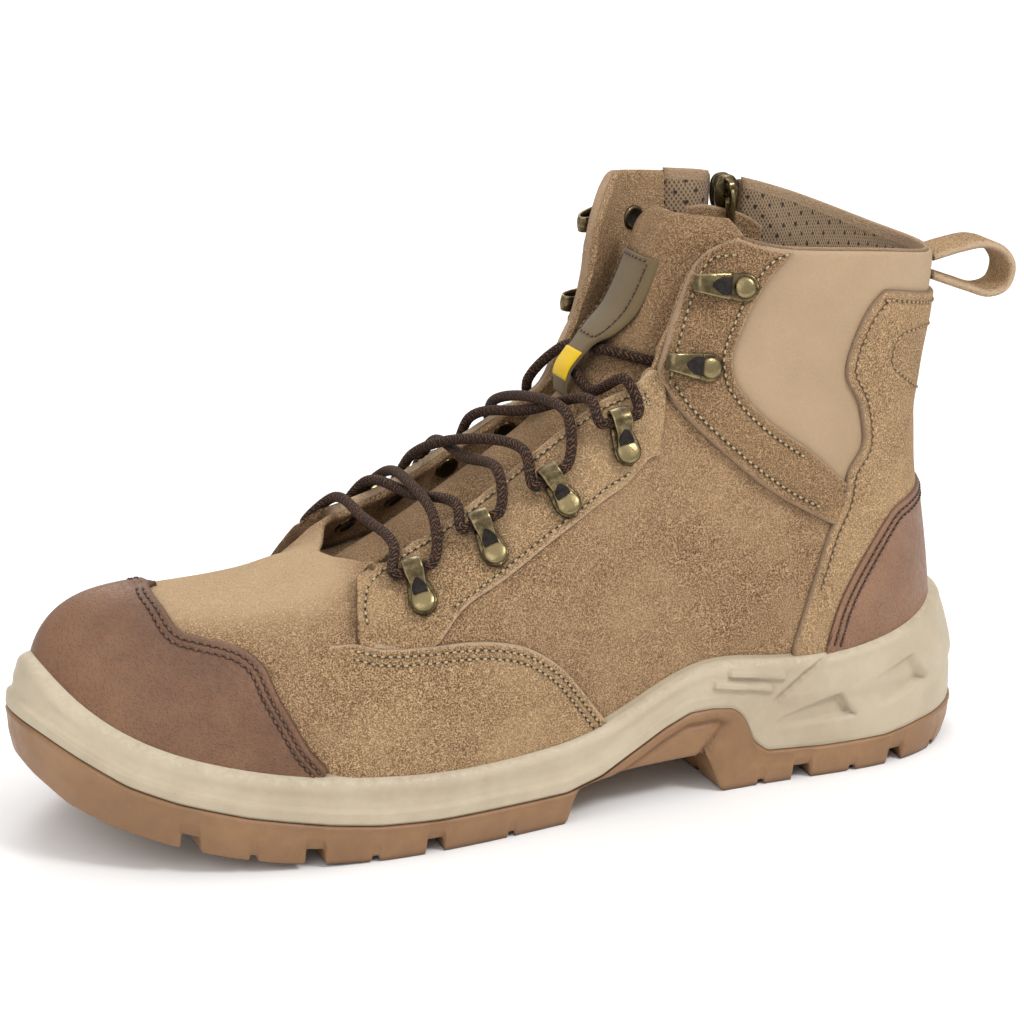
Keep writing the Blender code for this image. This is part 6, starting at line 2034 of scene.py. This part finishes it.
def lace_route(eyes):
    """One cord: a bar across the first pair, then crossed up to the fourth and on under the keeper strip."""
    over = FITTING_BASE + LACE_RADIUS + 0.6

    def at_edge(side, t):
        spot = (t if side == "outer" else LOOP - t, edge_share(t) - 0.015)
        return form(*spot) + unit(form_normal(*spot) + np.array([0.0, 0.0, 1.0])) * over

    def pass_loop(side, k):
        middle, across = eyes[(side, k)]
        way = across if across[0] < 0 else -across
        t, turn = LACE_LOOPS[k - 1][2], LACE_LOOPS[k - 1][4]
        ends = [middle - way * (LOOP_HALF + 2.7), middle + way * (LOOP_HALF + 2.7)]
        return [at_edge(side, t + turn)] + ends + [at_edge(side, t - turn)]

    def strand(side, height):
        points = []
        for k in range(1, 5):
            steps = pass_loop(side, k)
            if k > 1:
                middle = (points[-1] + steps[0]) / 2
                middle[2] += height
                points.append(middle)
            points += steps
            side = "inner" if side == "outer" else "outer"
        return points

    def over_tongue(rows):
        return [off_tongue(row, across, np.array(LACE_RADIUS + 0.8 + up)) for row, across, up in rows]

    outer = strand("outer", 4.2) + over_tongue(OVER_KEEPER)
    inner = strand("inner", -0.4) + over_tongue(UNDER_KEEPER)
    bar = (outer[0] + inner[0]) / 2
    bar[2] += 1.0
    points = list(reversed(outer)) + [bar] + inner
    middle = len(outer) + 1
    eyes_at = [2 + 5 * k for k in range(4)]
    straight = [middle + k for k in eyes_at] + [middle - k - 1 for k in eyes_at]
    return smooth_path(points, 14, straight)


def lace(eyes):
    route = lace_route(eyes)
    length = path_length(route)
    path = along_path(route, np.linspace(0, 1, int(length / LACE_STEP)))
    points, faces = tube(path, LACE_SHOWN, BRAID_SIDES)
    run = np.repeat(np.linspace(0, length, len(path)), BRAID_SIDES)
    turn = np.tile(np.arange(BRAID_SIDES) / BRAID_SIDES, len(path))
    fold = np.abs((turn * 4) % 1 * 2 - 1)
    phase = run / BRAID_PITCH + fold * 0.5
    strand = np.abs((phase * 2) % 1 * 2 - 1)
    yarn = np.floor(phase * 2).astype(int)
    column = np.floor(turn * 4).astype(int)
    orange = ((yarn + column) % 2 == 0) * (strand > 0.55)
    grey = ((yarn + column) % 2 == 1) * (strand > 0.62)
    centre = np.repeat(path, BRAID_SIDES, axis=0)
    points = centre + (points - centre) * (1 + 0.12 * (strand - 0.6))[:, None]
    marks = {"orange": orange.astype(float), "grey": grey.astype(float)}
    piece("lace_braid", points, faces, [LACE_BRAID], "cord", stands_for=("lace",), marks=marks)


# Pull loop
def pull_loop():
    path = along_path(smooth_path([(s, 0, z) for s, z in PULL_LOOP], 12), np.linspace(0, 1, 120))
    tangent = unit(np.gradient(path, axis=0))
    normal = np.stack([-tangent[:, 2], np.zeros(len(path)), tangent[:, 0]], 1)
    half, wide = PULL_LOOP_THICKNESS / 2, PULL_LOOP_WIDTH / 2
    ring = [(across * way, way) for way in (1, -1) for across in np.linspace(-1, 1, 13)]
    points, edge = [], []
    for p, n in zip(path, normal):
        for across, way in ring:
            close = wide * (1 - abs(across))
            tall = half * math.sqrt(max(0.08, 1 - (1 - min(close, 1)) ** 2))
            points.append(p + n * way * tall + np.array([0, across * wide, 0]))
            edge.append(close)
    faces = [face[::-1] for face in ring_faces(len(path), len(ring))]
    piece("pull_loop_strap", points, faces, [SUEDE], "suede", stands_for=("pull_loop",), marks={"edge": edge})


# Zip on the inner side
TOOTH = (0.95, 2.6, 1.5)
TOOTH_BEVEL = 0.22
TOOTH_PITCH = 1.75
TOOTH_ASIDE = 0.55
TEETH_LIFT = -1.7
TAPE_OUTER = -2.6
TAPE_INNER = -3.4
TAPE_BULGE = 0.35
TAPE_MAP = 24
# Way out of the shoe on the zip's side
ZIP_OUT = np.array([0.0, -1.0, 0.0])
# Guard behind the chain: half-width in t, lower and upper end in v, then each face's lift and its swell
GUARD_HALF = 0.42
GUARD_LOW = 0.30
GUARD_TOP = 0.915
GUARD_OUTER = (-4.3, 0.55)
GUARD_INNER = (-4.4, -0.75)
# Binding beside the slot: width, how far it laps over the slot, and where its seam is, in t
BINDING = 0.36
BINDING_LAP = 0.015
BINDING_SEAM = 0.10
BINDING_THICKNESS = 1.5
BINDING_TOP = 0.996
BINDING_DROP = 0.03


def slot_low():
    """Lower end of the zip's slot, in v."""
    return rim_share(SLOT[0]) + (edge_share(SLOT[0]) - rim_share(SLOT[0])) / SLOT_PARTS


def bevel_rings(half, bevel):
    """Heights of a bevelled plate's four outlines, and how far each is drawn in."""
    return ((-half, bevel), (-half + bevel, 0.0), (half - bevel, 0.0), (half, bevel))


def rounded_block(size, bevel):
    """A box with its edges cut back, as points and faces about its middle."""
    x, y, z = np.asarray(size, float) / 2
    points = []
    for height, inset in bevel_rings(z, bevel):
        a, c = x - inset, y - inset
        ring = [(a - bevel, -c), (a, -c + bevel), (a, c - bevel), (a - bevel, c)]
        ring += [(-px, -py) for px, py in ring]
        points += [(px, py, height) for px, py in ring]
    return np.array(points), ring_faces(4, 8)


def zip_chain():
    """Tape and teeth, closed up to the slider."""
    rows = np.linspace(slot_low() - 0.01, ZIP_TOP_V, 60)
    parts = np.linspace(-1, 1, 15)
    t, v = np.meshgrid(ZIP_T + parts * (ZIP_HALF + 0.06), rows, indexing="ij")
    bulge = TAPE_BULGE * bell(parts, 0.4)[:, None]
    outer = laid(t, v, TAPE_OUTER + bulge + np.zeros(t.shape)).reshape(-1, 3)
    inner = laid(t, v, np.full(t.shape, TAPE_INNER)).reshape(-1, 3)
    points, faces = closed_sheet(outer, inner, grid_quads(*t.shape))
    piece("zip_tape", points, faces, [ZIP_TAPE], "cloth", stands_for=("zip",),
          uv=sheet_map(t * TAPE_MAP, form(t, v)[:, :, 2]))
    line = laid(np.full(200, ZIP_T), np.linspace(rows[0], rows[-1], 200), np.full(200, TEETH_LIFT))
    count = int(path_length(line) / TOOTH_PITCH)
    spots = along_path(line, (np.arange(count) + 0.5) / count)
    block, block_faces = rounded_block(TOOTH, TOOTH_BEVEL)
    teeth = []
    for k, (spot, way) in enumerate(zip(spots, unit(np.gradient(spots, axis=0)))):
        normal = unit(ZIP_OUT - way * ZIP_OUT.dot(way))
        across = np.cross(normal, way)
        shift = across * (TOOTH_ASIDE if k % 2 else -TOOTH_ASIDE)
        teeth.append((to_frame(block, (spot + shift, way, across, normal)), block_faces))
    points, faces = joined(teeth)
    piece("zip_teeth", points, faces, [BRASS], "metal", marks={"edge": np.full(len(points), 0.4)})


def zip_guard():
    """Suede flap behind the chain, between the zip and the foot, up to the slider."""
    parts = spread(20.0, 1.2, True, True, 1.0) * 2 - 1
    tops = GUARD_TOP - 0.02 * np.abs(parts) ** 3
    rows = spread(70.0, 1.6, True, True, 1.0)
    t, v = columns_between(ZIP_T + GUARD_HALF * parts, np.full(len(parts), GUARD_LOW), tops, rows)
    face = form(t, v)
    away = nearest(face, np.vstack([face[0], face[-1], face[:, -1]]))
    curve = rounded(away / CUT_ROUNDING)
    sheets = [laid(t, v, lift + swell * curve).reshape(-1, 3) for lift, swell in (GUARD_OUTER, GUARD_INNER)]
    points, faces = closed_sheet(*sheets, grid_quads(*t.shape))
    piece("zip_guard", points, faces, [SUEDE_TOP], "suede", marks={"edge": edge_mark(away)})


def zip_surround():
    """Suede binding along both sides of the slot."""
    found = []
    low = slot_low()
    front, rear = SLOT
    bindings = (
        ("zip_binding_front", front - BINDING, front + BINDING_LAP, front - BINDING + BINDING_SEAM),
        ("zip_binding_rear", rear - BINDING_LAP, rear + BINDING, rear + BINDING - BINDING_SEAM),
    )
    for name, start, finish, sewn in bindings:
        ts = start + (finish - start) * spread(11.0, 1.0, True, True, 1.0)
        vs = low - BINDING_DROP + (BINDING_TOP - low + BINDING_DROP) * spread(110.0, 1.4, True, True, 1.0)
        t, v = np.meshgrid(ts, vs, indexing="ij")
        panel(name, t, v, BINDING_THICKNESS, SUEDE_TOP, ALL_EDGES, grooves=((2.4, 0.2),))
        found += seam([(sewn, at) for at in (low, 0.5, 0.75, 0.98)], 0.0, BINDING_THICKNESS - 0.05)
    stitches("zip_binding_stitches", found, TAN_THREAD)


SLIDER_V = 0.955
SLIDER_LIFT = -1.6
SLIDER_PLATE = 1.4
SLIDER_BEVEL = 0.35
SLIDER_POST = (2.6, 9.0, 0.4)
# The pull tab's hinge, off the slider's inner face and up
HINGE_OFF = np.array([0, 2.2, 2.0])
# Bridge over the hinge: off the slider's face at its foot, off the hinge at its top, and up from the hinge
BRIDGE_FOOT = ((-0.6, -2.3), (1.0, -2.5))
BRIDGE_TOP = ((0.9, -1.9), (1.55, 0.0), (0.9, 1.9))


def slider_place():
    """Middle of the slider, middle of its inner face and the hinge of its pull tab."""
    body = skin(ZIP_T, SLIDER_V, np.array(SLIDER_LIFT))
    face = body + np.array([0, SLIDER[1] / 2, 0])
    return body, face, face + HINGE_OFF


def slab(outline, hole, thick, bevel):
    """A plate with bevelled rims and perhaps a hole, outlined in two axes and thick in the third."""
    count = len(outline)
    inward = -unit(outline - outline.mean(axis=0))
    rings = [
        np.column_stack([outline + inward * by, np.full(count, z)]) for z, by in bevel_rings(thick / 2, bevel)
    ]
    faces = ring_faces(4, count)
    if hole is None:
        return np.vstack(rings), faces
    # The flat ends become bands round the hole
    faces = faces[:-2]
    rings += [np.column_stack([hole, np.full(count, z)]) for z in (-thick / 2, thick / 2)]
    low, high = 4 * count, 5 * count
    for i in range(count):
        j = (i + 1) % count
        faces.append((low + j, low + i, high + i, high + j))
        faces.append((j, i, low + i, low + j))
        faces.append((3 * count + i, 3 * count + j, high + j, high + i))
    return np.vstack(rings), faces


def oval(half_a, half_b, power, count=32):
    """A rounded outline between an ellipse and a box."""
    angle = 2 * np.pi * np.arange(count) / count
    c, s = np.cos(angle), np.sin(angle)
    return np.stack([half_a * np.sign(c) * np.abs(c) ** power, half_b * np.sign(s) * np.abs(s) ** power], -1)


def zip_slider():
    body, face, hinge = slider_place()
    parts = []
    plate, plate_faces = slab(oval(SLIDER[0] / 2, SLIDER[2] / 2, 0.75), None, SLIDER_PLATE, SLIDER_BEVEL)
    half = SLIDER_PLATE / 2
    for y in (face[1] - half, face[1] - SLIDER[1] + half):
        placed = np.stack([body[0] + plate[:, 0], y - plate[:, 2], body[2] + plate[:, 1]], -1)
        parts.append((placed, plate_faces))
    width, tall, bevel = SLIDER_POST
    post, post_faces = rounded_block((width, SLIDER[1] - 1.0, tall), bevel)
    parts.append((body + post, post_faces))
    foot = [(face[1] + out, up) for out, up in BRIDGE_FOOT]
    top = [(hinge[1] + out, up) for out, up in BRIDGE_TOP]
    bridge = smooth_path(foot + top + [(out, -up) for out, up in foot[::-1]], 6)
    strip, strip_faces, _ = swept_strip(bridge, [1.0] * len(bridge), 1.0)
    parts.append((np.stack([body[0] + strip[:, 1], strip[:, 0], hinge[2] + strip[:, 2]], -1), strip_faces))
    points, faces = joined(parts)
    piece("zip_slider_brass", points, faces, [BRASS], "metal", stands_for=("zip_slider",),
          marks={"edge": np.full(len(points), 0.3)})


# Pull tab: its bevel, how far it narrows to its lower end, and the half-sizes of its hole
TAB_BEVEL = 0.3
TAB_TAPER = 0.28
TAB_HOLE = (2.25, 1.6)
TAB_SIDES = 40


def zip_pull():
    _, _, hinge = slider_place()
    width, thick, length = PULL_TAB
    outline = oval(length / 2 + BAR / 4, width / 2, 0.5, TAB_SIDES)
    outline[:, 0] -= length / 2 - BAR / 4
    outline[:, 1] *= 1 - TAB_TAPER * np.clip(-outline[:, 0] / length, 0, 1)
    hole = oval(*TAB_HOLE, 0.55, TAB_SIDES) + np.array([-BAR / 2 - TAB_HOLE[0], 0.0])
    points, faces = slab(outline, hole, thick, TAB_BEVEL)
    points = np.stack([hinge[0] + points[:, 2], hinge[1] + points[:, 1], hinge[2] + points[:, 0]], -1)
    piece("zip_pull_tab", points, faces, [BRASS], "metal", body="pull_tab", stands_for=("zip_pull",),
          marks={"edge": np.full(len(points), 0.6)})


upper_shell()
collar_pads()
toe_cap()
wing()
eyestays()
facings()
backstay()
heel_counter()
midsole()
outsole()
insole()
tongue()
gussets()
tongue_label()
keeper_patch()
lace(lace_loops())
lace_hooks()
eyelet_backs()
pull_loop()
zip_chain()
zip_guard()
zip_surround()
zip_slider()
zip_pull()


# Floor, light and camera
VIEW_YAW = math.radians(22.0)
VIEW_RISE = math.radians(21.2)
VIEW_DISTANCE = 1100.0
VIEW_ANCHOR = (150.0, 0.0, 0.0)
VIEW_FOCAL = 3498.0
VIEW_ASIDE = 8.9
VIEW_UP = 253.6
PICTURE = 1024
SENSOR = 36.0
# Floor's reach and the place that the lamps point at, in metres
FLOOR = 14.0
LIT = (0.0, 0.0, 0.08)


def stage():
    """A wide pale floor."""
    floor_mesh = bpy.data.meshes.new("floor")
    corners = [(FLOOR * x, FLOOR * y, 0) for x, y in ((-1, -1), (1, -1), (1, 1), (-1, 1))]
    floor_mesh.from_pydata(corners, [], [(0, 1, 2, 3)])
    floor_look = Look("pale_floor").set(Roughness=0.9, Specular_IOR_Level=0.1)
    shade = floor_look.span(floor_look.noise(3.0, 2.0), 0.3, 0.7)
    floor_look.colour(floor_look.mix(shade, (0.88, 0.88, 0.88, 1), (0.90, 0.90, 0.90, 1)))
    floor_mesh.materials.append(floor_look.material)
    floor = bpy.data.objects.new("floor", floor_mesh)
    bpy.context.scene.collection.objects.link(floor)


def area_light(name, where, size, power):
    """A round lamp that points at the shoe."""
    data = bpy.data.lights.new(name, "AREA")
    data.shape = "DISK"
    data.size = size
    data.energy = power
    made = bpy.data.objects.new(name, data)
    made.location = where
    made.rotation_euler = (Vector(LIT) - Vector(where)).to_track_quat("-Z", "Y").to_euler()
    bpy.context.scene.collection.objects.link(made)


def lights():
    world = bpy.data.worlds.new("studio")
    world.use_nodes = True
    sky = world.node_tree.nodes["Background"]
    sky.inputs["Color"].default_value = (1.0, 0.99, 0.98, 1)
    height = world.node_tree.nodes.new("ShaderNodeSeparateXYZ")
    where = world.node_tree.nodes.new("ShaderNodeTexCoord")
    overhead = world.node_tree.nodes.new("ShaderNodeMapRange")
    world.node_tree.links.new(where.outputs["Generated"], height.inputs["Vector"])
    world.node_tree.links.new(height.outputs["Z"], overhead.inputs["Value"])
    for socket, value in (("From Min", 0.0), ("From Max", 1.0), ("To Min", 0.50), ("To Max", 1.22)):
        overhead.inputs[socket].default_value = value
    world.node_tree.links.new(overhead.outputs["Result"], sky.inputs["Strength"])
    bpy.context.scene.world = world
    area_light("key", (-0.60, 0.95, 1.30), 0.45, 12.5)
    area_light("fill", (0.95, 0.85, 0.75), 1.1, 4.5)
    area_light("rim", (-0.2, -1.1, 1.2), 0.9, 7.0)


def camera():
    back = np.array([
        math.sin(VIEW_YAW) * math.cos(VIEW_RISE), math.cos(VIEW_YAW) * math.cos(VIEW_RISE),
        math.sin(VIEW_RISE),
    ])
    right = np.array([-math.cos(VIEW_YAW), math.sin(VIEW_YAW), 0.0])
    up = np.cross(back, right)
    aim = -back + right * VIEW_ASIDE / VIEW_FOCAL + up * VIEW_UP / VIEW_FOCAL
    stretch = np.linalg.norm(aim)
    data = bpy.data.cameras.new("camera")
    data.sensor_width = SENSOR
    data.lens = VIEW_FOCAL * stretch * SENSOR / PICTURE
    data.clip_start = 0.01
    made = bpy.data.objects.new("camera", data)
    made.location = place(np.array(VIEW_ANCHOR) + VIEW_DISTANCE * back)
    made.rotation_euler = Vector(aim).to_track_quat("-Z", "Y").to_euler()
    bpy.context.scene.collection.objects.link(made)
    bpy.context.scene.camera = made


stage()
lights()
camera()
bpy.context.scene.view_settings.view_transform = "Standard"
